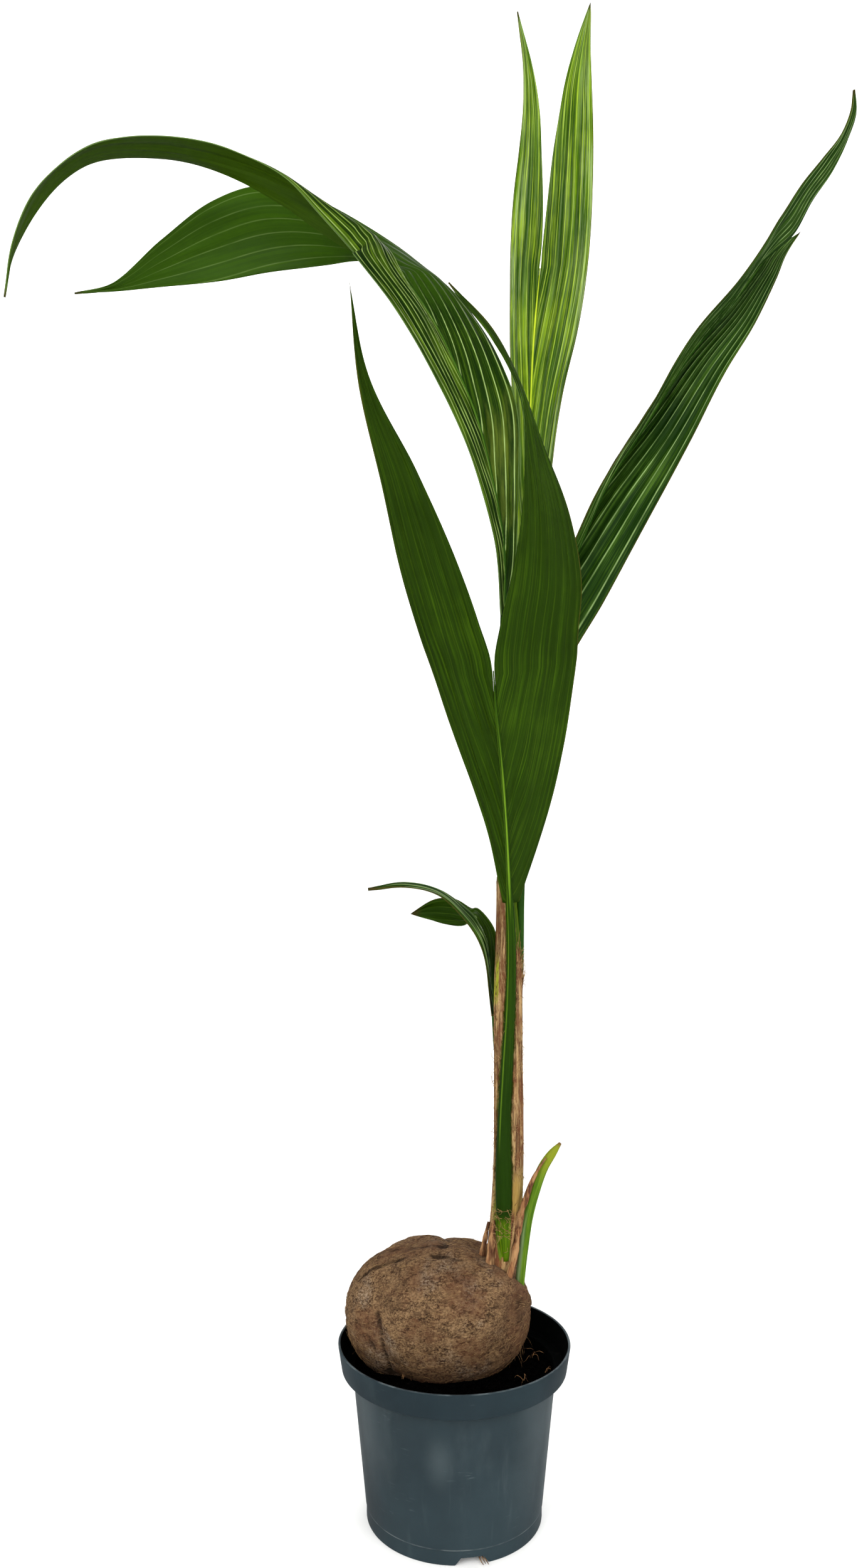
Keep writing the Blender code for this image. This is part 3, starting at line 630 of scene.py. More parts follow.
def leaf_look(name, dark, middle, light, vein_and_sheen, vein_width, vein_share, streaks=0.5, gloss=0.42, painted_sheen=None,
              blotch=None, calm=(9.0, 9.1), margin=((84, 76, 26), 0.4), pace=9.0):
    """One side of a leaf: stripes along the veins, pale lines of veins and painted sheen, painted shade in
    the pleat valleys, pale streaks of painted sheen, a thin dry margin, pale as a painted highlight on some
    fronds, and a dry tip.
    """
    look = Look(name, specular=0.05)
    phase, along, edge, tip = look.values("phase", "along", "edge", "tip")
    wide = look.lines(phase, 0.9, along, 5.0, 2.0, shift=3.0)
    fine = look.lines(phase, pace, along, 7.0, 3.0, 0.7)
    grain = look.lines(phase, 40.0, along, 60.0, 2.0)
    clouds = look.noise(look.place(), 18.0, 3.0)
    lively = look.level(along, *calm, 1.0, 0.14)
    even = look.level(along, *calm, 0.0, 0.75)
    look.colour = look.mix(look.sum("MAXIMUM", look.level(wide, 0.35, 0.68), even), dark, middle)
    look.cover(dark, look.level(fine, 0.5 + 0.5 * (1 - streaks) + 0.12, 0.5 - 0.28 * streaks), lively)
    look.cover(light, look.times(look.level(look.sway(fine, clouds, 0.45), 0.68, 0.98), streaks), lively)
    if blotch is not None:
        patch, centre, size = blotch
        ragged = look.sway(look.far(centre, size), look.lines(phase, 2.0, along, 30.0, 4.0), 1.6)
        look.coat(patch, ragged, 1.75, 0.9, 0.55)
    near_vein = look.sum("PINGPONG", phase, 0.5)
    broken = look.level(look.noise(look.join(phase, look.times(along, 14.0)), 2.0, 2.0), 0.3, 0.6, 0.35, 1.0)
    # pale lines along the pleat ridges: veins, and on the arching frond also painted sheen
    line = look.times(look.level(near_vein, vein_width, vein_width * 0.3), lively)
    look.cover(vein_and_sheen, line, look.times(broken, vein_share))
    # painted shade: darker along the valleys between the pleats
    look.cover(dark, look.level(near_vein, 0.40, 0.5, 0.0, 0.7), lively)
    # painted sheen: whitish streaks, strongest near the edge
    if painted_sheen is not None:
        sheen_streaks = look.level(look.lines(phase, 5.0, along, 12.0, 5.0, 0.7), 0.42, 0.66)
        look.cover(painted_sheen[0], look.times(sheen_streaks, look.level(edge, 0.016, 0.001, 0.35, 1.0)), painted_sheen[1])
    # a thin dry margin; where its colour is pale it is a painted highlight along the edge
    look.coat(margin[0], edge, 0.0009, 0.0003, margin[1])
    look.coat((52, 44, 18), look.sum("ADD", tip, look.times(fine, 0.008)), 0.014, 0.006, 0.85)
    height = look.sum("ADD", look.times(fine, 0.8), look.times(grain, 0.25))
    return look.finish(look.level(fine, 0.2, 0.8, gloss - 0.06, gloss + 0.14), height, 0.35, 0.0004)


def stalk_look(name, dark, light, line, deep=(0.0, 0.001), young=None, line_end=9.0):
    """A leaf stalk: green, streaked along its length, deeper green low down, with a paler keel."""
    look = Look(name, specular=0.06)
    angle, along, blade = look.values("angle", "along", "blade")
    fine = look.lines(angle, 14.0, along, 10.0, 4.0, 0.65)
    look.base(fine, 0.3, 0.75, dark, light)
    look.cover(dark, look.level(along, *deep, 0.75, 0.0))
    width = look.noise(look.join(0.0, look.times(along, 20.0)), 1.0, 2.0)
    keel = look.level(look.off(angle, 0.25), look.times(width, 0.12), 0.01)
    look.cover(line, keel, look.times(blade, look.level(along, line_end, line_end - 0.12)))
    if young is not None:
        keel = look.times(look.level(look.off(angle, 0.135), 0.030, 0.008), look.level(along, 0.08, 0.12))
        look.cover(line, keel, 0.5)
        foot = look.level(look.sway(along, fine, 0.012), 0.046, 0.036)
        look.cover(look.mix(look.level(fine, 0.35, 0.65), *young), foot)
    return look.finish(look.level(fine, 0.2, 0.8, 0.36, 0.55), fine, 0.3, 0.0004)


def pot_look():
    """Dark satin plastic with faint scuffs and dust, with painted highlights: soft paler bands and a pale
    central patch on the wall, a pale broken line along the rim's top edge and a slightly paler wall below the
    collar.
    """
    look = Look("pot_plastic_fine", specular=0.3)
    place = look.place()
    right, back, height = look.parts()
    turn = look.sum("ARCTAN2", right, look.times(back, -1.0))
    dust = look.noise(look.place((1.0, 1.0, 0.35)), 30.0, 6.0, 0.6)
    cloud = look.noise(place, 9.0, 3.0)
    look.base(cloud, 0.3, 0.7, (24, 37, 43), (33, 48, 54))
    wall = look.level(height, COLLAR_STEP + 0.001, COLLAR_STEP - 0.004)
    # painted sheen: the wall below the collar a little paler than the collar
    look.cover((104, 116, 118), wall, 0.04)
    swayed = look.sum("ADD", turn, look.sum("MULTIPLY_ADD", cloud, 0.5, -0.25))
    # painted highlights: soft paler upright bands where the wall would reflect the lights
    for centre, width, share, low, high in PAINTED_HIGHLIGHT_BANDS:
        band = look.times(look.level(look.off(swayed, centre), width, 0.0), wall)
        look.cover((112, 122, 124), look.times(band, look.level(height, low, high)), share)
    # painted highlight: a soft pale round patch on the front of the wall
    painted_highlight_spot = look.sway(look.far((-0.012, -0.078, 0.082), (1 / 62, 1 / 40, 1 / 34)), cloud, 0.8)
    look.coat((128, 140, 142), painted_highlight_spot, 1.35, 0.3, 0.10)
    look.coat((84, 95, 98), dust, 0.54, 0.8, 0.22)
    streaks = look.noise(look.place((1.0, 1.0, 0.05)), 90.0, 3.0, 0.7)
    look.coat((116, 126, 128), streaks, 0.6, 0.8, 0.08)
    # painted highlight: a pale broken line along the rim's top edge
    rim = look.level(height, POT_HEIGHT - 0.0008, POT_HEIGHT - 0.0002)
    look.cover((110, 120, 122), rim, look.level(look.noise(place, 60.0, 4.0), 0.4, 0.7, 0.0, 0.4))
    foot = look.level(look.off(height, FOOT_HEIGHT - 0.0002), 0.0009, 0.0002)
    look.cover((122, 130, 130), foot, look.level(look.noise(place, 70.0, 5.0), 0.35, 0.6, 0.0, 0.45))
    scuff = look.level(look.lines(turn, 5.0, height, 620.0, 2.0), 0.63, 0.72)
    marks = look.times(scuff, look.level(look.noise(place, 24.0, 2.0), 0.52, 0.66))
    look.cover((120, 132, 134), marks, 0.16)
    return look.finish(look.level(dust, 0.3, 0.8, 0.36, 0.5), look.noise(place, 900.0, 2.0), 0.12, 0.0002)


def pot_inside_look():
    """The pot's inside, near black as painted shade, matt with soil dust."""
    look = Look("pot_inside_fine", roughness=0.9, specular=0.02)
    dust = look.noise(look.place(), 160.0, 5.0, 0.7)
    look.base(dust, 0.5, 0.8, (3, 4, 4), (14, 14, 13))
    return look.finish()


def soil_look():
    """Dark moist potting soil, deepened to near black as painted shade inside the pot."""
    look = Look("soil_fine", specular=0.0)
    place = look.place()
    grains = look.noise(place, 260.0, 6.0, 0.7)
    lumps = look.noise(place, 60.0, 4.0)
    # near-black base: the soil's own dark colour deepened by painted shade
    look.base(grains, 0.45, 0.8, (2, 2, 2), (9, 8, 7))
    look.coat((48, 40, 30), look.cells(place, 260.0), 0.12, 0.05, 0.35)
    return look.finish(look.level(lumps, 0.3, 0.7, 0.75, 0.95), look.sum("ADD", grains, lumps), 0.9, 0.002)


def husk_look():
    """Weathered brown husk: fine mottled fibre, greyed and golden in places, dark in its cracks, with painted
    shade where its surface sinks and towards its top, right side and bottom.
    """
    look = Look("husk_fine", specular=0.08)
    relief, = look.values("relief")
    right, _, height = look.parts()
    turn = tuple(HUSK_TURN.inverted().to_euler())
    mesh = look.place((0.7, 1.0, 1.0), turn)
    fibre = look.noise(look.place((0.3, 1.0, 1.0), turn), 620.0, 6.0, 0.75, 0.5)
    fine = look.noise(mesh, 760.0, 5.0, 0.75, 0.3)
    spots = look.noise(mesh, 170.0, 6.0, 0.7)
    clouds = look.noise(look.place(), 26.0, 4.0, 0.6)
    reds = look.noise(look.place((1.0, 1.0, 1.3), (0.4, 0.9, 0.2)), 34.0, 4.0, 0.6)
    light = look.mix(look.level(clouds, 0.50, 0.68, 0.0, 0.85), (132, 104, 74), (144, 128, 110))
    look.base(fine, 0.40, 0.62, (50, 34, 23), light)
    look.coat((84, 54, 36), reds, 0.44, 0.64, 0.7)
    look.coat((142, 114, 82), spots, 0.42, 0.64, 0.3)
    # painted shade: darker towards the bottom, the right side and the top of the husk
    look.coat((66, 42, 28), look.sway(height, clouds, 0.03), 0.168, 0.138, 0.35)
    look.coat((80, 52, 36), look.sway(right, reds, 0.05), 0.040, 0.085, 0.55)
    look.coat((72, 50, 34), look.sway(height, clouds, 0.04), 0.205, 0.245, 0.45)
    look.coat((52, 35, 24), clouds, 0.48, 0.32, 0.6)
    look.coat((158, 128, 88), fibre, 0.57, 0.67, 0.5)
    bent = look.vector("MULTIPLY_ADD", look.noise(mesh, 210.0, 3.0, 0.5, output="Color"), (0.006,) * 3, mesh)
    cracks = look.level(look.cells(bent, 190.0, "DISTANCE_TO_EDGE"), 0.09, 0.02)
    cracks = look.times(cracks, look.level(spots, 0.52, 0.40))
    look.cover((34, 22, 14), cracks, 0.45)
    look.cover((38, 25, 16), look.times(look.level(fibre, 0.40, 0.30), look.level(spots, 0.6, 0.4)), 0.6)
    # painted shade: darker where the surface sinks, in pits, creases and between fibres
    look.coat((26, 17, 10), relief, -0.40, -1.3, 0.8)
    bump = look.sum("SUBTRACT", look.sum("ADD", fine, look.times(spots, 0.8)), look.times(cracks, 0.6))
    return look.finish(look.level(fine, 0.2, 0.8, 0.8, 0.95), bump, 0.9, 0.0010)


def sheath_look():
    """Leaf stem: tan fibrous sheath with red-brown mottling, and green where it has split."""
    look = Look("sheath_fine", specular=0.1)
    angle, along, bark = look.values("angle", "along", "bark")
    fibre = look.lines(angle, 34.0, along, 18.0, 5.0, 0.7)
    slanted = look.sum("ADD", look.times(angle, 40.0), look.times(along, 90.0))
    weave = look.noise(look.join(slanted, look.times(along, 30.0)), 1.0, 3.0, 0.6)
    clouds = look.noise(look.place((1.0, 1.0, 0.5)), 60.0, 5.0, 0.6)
    specks = look.lines(angle, 55.0, along, 130.0, 3.0, 0.6)
    look.base(fibre, 0.38, 0.62, (68, 44, 26), (166, 136, 92))
    look.coat((92, 52, 30), clouds, 0.44, 0.60, 0.8)
    look.coat((170, 148, 106), weave, 0.56, 0.7, 0.55)
    look.coat((84, 42, 24), specks, 0.54, 0.62, 0.75)
    look.coat((70, 42, 26), fibre, 0.40, 0.28, 0.7)
    rise = look.sway(along, fibre, 0.02)
    pale = look.times(look.level(rise, 0.254, 0.268), look.level(rise, 0.300, 0.282))
    look.cover((168, 142, 72), look.times(pale, look.level(look.off(angle, 0.42), 0.20, 0.10)), 0.55)
    patch = look.times(look.level(along, 0.412, 0.424), look.level(along, 0.462, 0.446))
    patch = look.times(patch, look.level(clouds, 0.34, 0.48))
    look.cover((132, 138, 32), patch, look.level(angle, 0.13, 0.09))
    streaked = look.level(fibre, 0.3, 0.7)
    green = look.mix(look.level(along, 0.262, 0.245), look.mix(streaked, (38, 60, 0), (74, 96, 4)),
                     look.mix(streaked, (52, 78, 8), (92, 112, 26)))
    look.colour = look.mix(bark, green, look.colour)
    height = look.sum("ADD", fibre, look.times(weave, 0.6))
    return look.finish(look.level(fibre, 0.2, 0.8, 0.66, 0.9), height, 0.7, 0.0007)


def scale_look():
    """Dry red-brown scale with fine lines."""
    look = Look("scale_fine", specular=0.1)
    relief, = look.values("relief")
    fibre = look.noise(look.place((1.0, 1.0, 0.06)), 900.0, 4.0, 0.7)
    clouds = look.noise(look.place((1.0, 1.0, 0.4)), 150.0, 4.0, 0.6)
    look.base(fibre, 0.35, 0.65, (84, 50, 32), (140, 98, 64))
    look.coat((160, 126, 86), clouds, 0.44, 0.62, 0.6)
    # partly cloudy tone, partly painted shade where the wrinkles sink
    look.coat((50, 28, 18), look.sum("ADD", relief, clouds), 0.5, 0.2, 0.6)
    return look.finish(look.level(fibre, 0.2, 0.8, 0.7, 0.9), fibre, 0.6, 0.0005)


def shoot_look():
    """Pale green shoot, streaked, yellow green towards its tip."""
    look = Look("shoot_fine", specular=0.1)
    angle, along = look.values("angle", "along")
    fine = look.lines(angle, 20.0, along, 3.0, 4.0, 0.65)
    look.base(fine, 0.3, 0.7, (44, 78, 6), (92, 122, 22))
    # painted sheen: a pale streak down the shoot's front-left side
    painted_sheen = look.times(look.level(along, 0.05, 0.12), look.level(along, 0.62, 0.34))
    painted_sheen = look.times(painted_sheen, look.level(look.off(angle, 0.10), 0.16, 0.06))
    look.cover((134, 154, 112), painted_sheen, look.level(fine, 0.3, 0.6, 0.3, 0.7))
    look.coat((120, 126, 26), along, 0.7, 0.92, 0.8)
    look.coat((104, 74, 40), look.sway(along, fine, 0.1), 1.02, 1.05)
    return look.finish(look.level(fine, 0.2, 0.8, 0.4, 0.56), fine, 0.35, 0.0004)


def thread_look(name, dark, light):
    """Fine dry fibres."""
    look = Look(name, roughness=0.8, specular=0.2)
    grain = look.noise(look.place(), 240.0, 3.0)
    look.base(grain, 0.35, 0.65, dark, light)
    return look.finish()


# Leaves

class Stalk(Curve):
    """A frond's petiole and rib, read once for the stalk itself and for both halves."""

    def __init__(self, frond):
        super().__init__(frond["stalk"])
        self.first = len(self.rows) - frond["rib"]
        self.start = self.knots[self.first]
        self.reach = self.length - self.start
        self.tip = frond["tip"] * MM


def half_surface(frond, stalk, half):
    """Dense rows of one half: distances, its inner and outer edge, and its bulge."""
    lobe = Curve((frond["stalk"][-1][:3], *half["lobe"]))
    lobe.slopes[0] = stalk.slopes[-1, :3]
    knots = np.concatenate((stalk.knots[stalk.first:] - stalk.start, stalk.reach + lobe.knots[1:]))

    def route(places):
        """Place and radius of the rib, and then of the lobe's inner edge."""
        rib = stalk.read(stalk.start + np.minimum(places, stalk.reach))
        free = lobe.read(np.maximum(places - stalk.reach, 0.0))
        return np.where((places <= stalk.reach)[:, None], rib[:, :3], free), rib[:, 3]

    across = np.array(half["across"], dtype=float)
    points, radii = route(knots)
    before, _ = route(np.maximum(knots - TURN_REACH, 0.0))
    after, _ = route(np.minimum(knots + TURN_REACH, knots[-1]))
    ahead = unit(after - before)
    level = unit(np.cross(ahead, VIEW))
    front = np.cross(ahead, level)
    turn = np.radians(across[:, 1])[:, None]
    outward = np.cos(turn) * level + np.sin(turn) * front
    lean = np.arctan2(4 * np.abs(across[:, 2]), np.maximum(across[:, 0], 1.0))
    outset = 0.0003 + frond["thick"] * MM / 2 * np.sin(lean)
    rib_rows = len(stalk.rows) - stalk.first
    outset[:rib_rows] += radii[:rib_rows]
    outset[rib_rows:] = outset[rib_rows - 1]
    widths = across[:, 0] * MM
    widths[-1] = 0.0
    outset[-1] = 0.0004
    outer = points + (outset + widths)[:, None] * outward
    beyond = spaced(stalk.reach, knots[-1], ROW_STEP)[1:]
    places = np.concatenate((spaced(0.0, stalk.reach, ROW_STEP), beyond))
    inner, radii = route(places)
    outer = read_smooth(outer, knots, np.gradient(outer, knots, axis=0), places)
    bulge = read_smooth(across[:, 2:], knots, np.gradient(across[:, 2:], knots, axis=0), places)[:, 0] * MM
    inset = radii * 0.35
    inset = inset + (0.0003 - inset) * ramp(places - stalk.reach, 0.0, 0.02)
    return places, inner + inset[:, None] * unit(outer - inner), outer, bulge


def make_half(name, frond, stalk, half, looks, slot, seed):
    """One half of a blade as a thin pleated shell."""
    places, inner, outer, bulge = half_surface(frond, stalk, half)
    span = np.linalg.norm(outer - inner, axis=1)
    facing = half["side"] * frond["faces"]
    pleats = half["pleats"]
    share = shares(int(pleats * PLEAT_POINTS) + 1)
    column = places[:, None]
    opened = np.minimum(places / stalk.reach, 1.0) ** 0.8
    opened = (opened * (1.0 - 0.22 * ramp(places, stalk.reach, places[-1])))[:, None]
    phase = pleats * (1.0 - opened * (1.0 - share))
    middle = inner[:, None] + share[None, :, None] * (outer - inner)[:, None]
    raised = unit(np.cross(np.gradient(inner + outer, axis=0), outer - inner))
    lift = bulge[:, None] * 4 * share * (1 - share)
    middle = middle + lift[..., None] * raised[:, None]

    def facing_up():
        """Directions out of the blade's upper side."""
        return unit(np.cross(np.gradient(middle, axis=0), np.gradient(middle, axis=1))) * facing

    spacing = span[:, None] / (pleats * opened + 0.4)
    height = np.minimum(half["height"] * MM, spacing * 0.16)
    height = height * (1.0 - half.get("calm", 0.0) * ramp(column, stalk.reach - 0.04, stalk.reach + 0.05))
    wave = 4 * np.abs(phase - np.floor(phase) - 0.5) - 1
    wave = np.sign(wave) * np.abs(wave) ** 1.15
    uneven = 1 + 0.45 * smooth_noise(stacked(phase, 0.0, column * 5), 1.0, seed)
    edges = ramp(share, 0.0, 0.06) * ramp(1 - share, 0.0, 0.05)
    bend = rough_noise(stacked(share * 0.5, column, 0.0), 0.09, seed + 5, 2)
    lifted = height * wave * uneven * edges + bend * 0.0012 * ramp(column, 0.0, 0.08)
    middle = middle + lifted[..., None] * facing_up()
    half_thick = facing_up() * BLADE_THICK / 2 * np.minimum(1.0, span / 0.004)[:, None, None]
    points, faces, sides = shell(middle + half_thick, middle - half_thick)
    to_tip = places[-1] - column
    edge = np.minimum((1 - share)[None] * span[:, None], to_tip + 0.001)
    values = {"phase": phase, "along": column, "edge": edge, "tip": to_tip}
    values = {key: np.tile(np.broadcast_to(number, phase.shape).ravel(), 2) for key, number in values.items()}
    piece = add_mesh(name.replace("frond", "leaf"), points, faces[:, ::facing], looks, sides, values)
    nodes = [name] if half["nodes"] == 1 else [f"{name}_{index + 1}" for index in range(half["nodes"])]
    settle(piece, slot, *nodes)


def make_stalk(name, stalk, look, steps=20):
    """A leaf's petiole and rib as one fine tube, thinner to its end, which runs on past the fork."""
    places = spaced(0.0, stalk.length, 0.004)
    rows = stalk.read(places)
    over = np.arange(0.003, stalk.tip + 0.001, 0.003)
    more = np.tile(rows[-1], (len(over), 1))
    more[:, :3] += over[:, None] * unit(rows[-1, :3] - rows[-2, :3])
    rows = np.vstack((rows, more))
    places = np.append(places, stalk.length + over)
    blade = ramp(places, stalk.start - 0.02, stalk.start + 0.03)
    rows[:, 3] *= 0.35 + 0.65 * ramp(places[-1] - places, -0.001, 0.05)

    def shape(rows, angles, radii):
        return radii * (1.0 - 0.42 * blade[:, None] * np.abs(np.cos(angles)))

    points, faces = closed_tube(tube_points(rows, steps, shape))
    values = {
        "angle": with_ends(np.tile(around(steps) / math.tau, len(rows)), 0.5, 0.5),
        "along": with_ends(np.repeat(places, steps), 0.0, places[-1]),
        "blade": with_ends(np.repeat(blade, steps), 0.0, 1.0),
    }
    piece = add_mesh(name.replace("frond", "leaf") + "_rib", points, faces, [look], values=values)
    settle(piece, "stalk_green", name + "_stalk")


# Looks of each frond's upper and under side, and of a half where it has its own
# Painted highlight: a pale line along the arching frond's edges, in place of a dry margin
PAINTED_EDGE_HIGHLIGHT = (110, 136, 76)
LEAF_LOOKS = {
    "frond_front": (
        leaf_look("front_leaf_upper", (22, 46, 4), (38, 68, 6), (62, 96, 16), (110, 140, 60), 0.10, 0.6),
        leaf_look("front_leaf_under", (26, 46, 0), (47, 78, 0), (62, 92, 4), (80, 108, 14), 0.05, 0.25,
                  streaks=0.45, gloss=0.5),
    ),
    "frond_arching": (
        leaf_look("arching_leaf_upper", (18, 40, 2), (42, 70, 3), (78, 108, 18), (150, 174, 104), 0.060, 0.90,
                  blotch=((100, 116, 36), (0.040, -0.005, 0.880), (0.024, 0.06, 0.090)), calm=(0.26, 0.33),
                  margin=(PAINTED_EDGE_HIGHLIGHT, 0.4)),
        leaf_look("arching_leaf_under", (26, 48, 0), (46, 72, 2), (66, 94, 8), (96, 120, 34), 0.05, 0.35,
                  streaks=0.4, gloss=0.46, calm=(0.27, 0.36), margin=(PAINTED_EDGE_HIGHLIGHT, 0.5)),
    ),
    "frond_arching_near": (
        leaf_look("arching_near_upper", (12, 32, 0), (40, 66, 1), (84, 112, 18), (142, 166, 88), 0.11, 0.7,
                  streaks=0.9, margin=(PAINTED_EDGE_HIGHLIGHT, 0.3), pace=2.6),
        leaf_look("arching_near_under", (26, 46, 1), (46, 70, 3), (64, 90, 10), (92, 116, 34), 0.05, 0.35,
                  streaks=0.5, gloss=0.46, calm=(0.27, 0.36), margin=(PAINTED_EDGE_HIGHLIGHT, 0.5)),
    ),
    "frond_upright": (
        leaf_look("upright_leaf_upper", (26, 56, 0), (74, 108, 4), (124, 150, 24), (150, 174, 56), 0.07, 0.70,
                  streaks=0.95, gloss=0.5, painted_sheen=((156, 176, 116), 0.5), pace=4.5),
        leaf_look("upright_leaf_under", (36, 68, 2), (78, 110, 12), (116, 144, 34), (142, 166, 68), 0.08, 0.5,
                  streaks=0.7, gloss=0.52, painted_sheen=((160, 178, 124), 0.45)),
    ),
    "frond_right": (
        leaf_look("right_leaf_upper", (16, 40, 5), (42, 72, 9), (76, 108, 34), (132, 158, 98), 0.06, 0.75,
                  streaks=0.6),
        leaf_look("right_leaf_under", (16, 38, 6), (34, 64, 12), (62, 92, 28), (92, 120, 62), 0.05, 0.3,
                  streaks=0.4, gloss=0.46),
    ),
    "frond_small_near": (
        leaf_look("small_near_upper", (10, 32, 1), (30, 60, 3), (70, 100, 26), (134, 158, 98), 0.13, 0.7,
                  streaks=0.7, pace=4.0),
        leaf_look("small_near_under", (14, 36, 2), (32, 60, 4), (66, 96, 26), (134, 158, 98), 0.10, 0.6,
                  streaks=0.7, pace=5.0),
    ),
    "frond_small": (
        leaf_look("small_leaf_upper", (26, 48, 1), (44, 72, 3), (58, 86, 10), (80, 108, 30), 0.06, 0.3,
                  streaks=0.4, gloss=0.46),
        leaf_look("small_leaf_under", (14, 36, 2), (32, 60, 4), (66, 96, 26), (134, 158, 98), 0.13, 0.9,
                  streaks=0.7, pace=5.0),
    ),
}
STALK_LOOKS = {
    "frond_front": stalk_look("front_stalk", (20, 42, 0), (38, 66, 0), (92, 124, 26), (0.10, 0.24),
                              ((34, 62, 0), (84, 110, 8)), 0.47),
    "frond_arching": stalk_look("arching_stalk", (24, 54, 6), (44, 82, 12), (70, 102, 28)),
    "frond_upright": stalk_look("upright_stalk", (84, 118, 14), (132, 160, 36), (176, 190, 44)),
    "frond_right": stalk_look("right_stalk", (20, 48, 8), (40, 74, 14), (60, 90, 26)),
    "frond_small": stalk_look("small_stalk", (20, 48, 6), (40, 76, 12), (90, 120, 44)),
}

for number, (frond_name, frond) in enumerate(FRONDS.items()):
    stalk = Stalk(frond)
    make_stalk(frond_name, stalk, STALK_LOOKS[frond_name])
    for half_name, half in HALVES.items():
        if half_name.startswith(frond_name + "_"):
            looks = LEAF_LOOKS.get(half_name, LEAF_LOOKS[frond_name])
            seed = 10 * number + half["side"] + 2
            make_half(half_name, frond, stalk, half, looks, f"{frond_name}_green", seed)


# Pot and soil

def wall_radius(height):
    """Outer radius of the pot's straight wall at a height."""
    share = (height - FOOT_HEIGHT) / (POT_HEIGHT - COLLAR_HEIGHT - FOOT_HEIGHT)
    return WALL_FOOT_RADIUS + share * (WALL_TOP_RADIUS - WALL_FOOT_RADIUS)


def rounded(corners, size, steps=4):
    """A line of points with each of its corners rounded."""
    corners = np.array(corners, dtype=float)
    line = [corners[0]]
    for before, corner, after in zip(corners, corners[1:], corners[2:]):
        reach = min(size, np.linalg.norm(before - corner) * 0.45, np.linalg.norm(after - corner) * 0.45)
        start = corner + unit(before - corner) * reach
        end = corner + unit(after - corner) * reach
        for share in np.linspace(0.0, 1.0, steps + 1):
            line.append((1 - share) ** 2 * start + 2 * share * (1 - share) * corner + share ** 2 * end)
    line.append(corners[-1])
    return np.array(line)


def turned_points(profile, steps):
    """Rings of points of a (radius, height) profile turned round the upright axis."""
    ring = stacked(np.cos(around(steps)), np.sin(around(steps)), 0.0)
    return profile[:, :1, None] * ring + profile[:, 1:, None] * np.array((0.0, 0.0, 1.0))


def cut_away(piece, shapes):
    """Take shapes out of a piece."""
    for shape in shapes:
        boolean = piece.modifiers.new(shape.name, "BOOLEAN")
        boolean.operation = "DIFFERENCE"
        boolean.solver = "EXACT"
        boolean.object = shape
    bpy.context.view_layer.update()
    evaluated = piece.evaluated_get(bpy.context.evaluated_depsgraph_get())
    made = bpy.data.meshes.new_from_object(evaluated)
    piece.modifiers.clear()
    piece.data = made
    for shape in shapes:
        bpy.data.objects.remove(shape, do_unlink=True)


def channel_shape(turn):
    """A bar with slanted sides, that leaves a notch where it crosses the pot's foot."""
    points = []
    for along in (-CHANNEL_START, -WALL_FOOT_RADIUS - 2 * WALL):
        for side in (-1, 1):
            for up, width in ((-0.004, CHANNEL_FOOT_WIDTH + 0.004), (CHANNEL_HEIGHT, CHANNEL_TOP_WIDTH)):
                across = side * width / 2
                points.append((across * math.cos(turn) - along * math.sin(turn),
                               across * math.sin(turn) + along * math.cos(turn), up))
    faces = ((0, 1, 3, 2), (4, 6, 7, 5), (0, 4, 5, 1), (2, 3, 7, 6), (0, 2, 6, 4), (1, 5, 7, 3))
    return add_mesh("channel_cut", points, faces, [])


def drain_shape(turn):
    """A round bar through the floor of a channel."""
    ring = turned_points(np.array(((DRAIN_RADIUS, -0.002), (DRAIN_RADIUS, FLOOR + 0.002))), DRAIN_STEPS)
    ring += (DRAIN_PLACE * math.sin(turn), -DRAIN_PLACE * math.cos(turn), 0.0)
    return add_mesh("drain_cut", ring, capped_faces(2, DRAIN_STEPS), [])


def make_pot(look, inside):
    """Tapered pot with a collar, a low foot and drainage channels, its edges rounded."""
    profile = rounded((
        (0.02, FLOOR),
        (wall_radius(FLOOR) - WALL, FLOOR),
        (wall_radius(COLLAR_STEP + WALL) - WALL, COLLAR_STEP + WALL),
        (COLLAR_FOOT_RADIUS - WALL, COLLAR_STEP + WALL),
        (RIM_RADIUS - WALL, POT_HEIGHT),
        (RIM_RADIUS, POT_HEIGHT),
        (COLLAR_FOOT_RADIUS, COLLAR_STEP),
        (WALL_TOP_RADIUS, COLLAR_STEP),
        (WALL_FOOT_RADIUS, FOOT_HEIGHT),
        (FOOT_RADIUS, FOOT_HEIGHT - 0.0010),
        (FOOT_RADIUS, 0.0),
        (0.02, 0.0),
    ), 0.0009)
    pot = add_mesh("fine_pot", turned_points(profile, POT_STEPS), capped_faces(len(profile), POT_STEPS),
                   [look, inside])
    turns = [CHANNEL_TURN + index * math.tau / CHANNEL_COUNT for index in range(CHANNEL_COUNT)]
    shapes = [make(turn) for turn in turns for make in (channel_shape, drain_shape)]
    for shape in (pot, *shapes):
        outward_faces(shape)
    cut_away(pot, shapes)
    for face in pot.data.polygons:
        centre = face.center
        limit = wall_radius(centre.z) - WALL / 2
        if centre.z >= COLLAR_STEP + WALL:
            slope = (RIM_RADIUS - COLLAR_FOOT_RADIUS) / COLLAR_HEIGHT
            limit = COLLAR_FOOT_RADIUS + (centre.z - COLLAR_STEP) * slope - WALL / 2
        deep = FLOOR - 0.0002 < centre.z < POT_HEIGHT - 0.0006
        # faces inside the pot take the near-black inside material: painted shade in the recess
        face.material_index = int(deep and math.hypot(centre.x, centre.y) < limit)
    pot.data.shade_smooth()
    pot.data.set_sharp_from_angle(angle=math.radians(32))
    settle(pot, "pot_plastic", "pot")


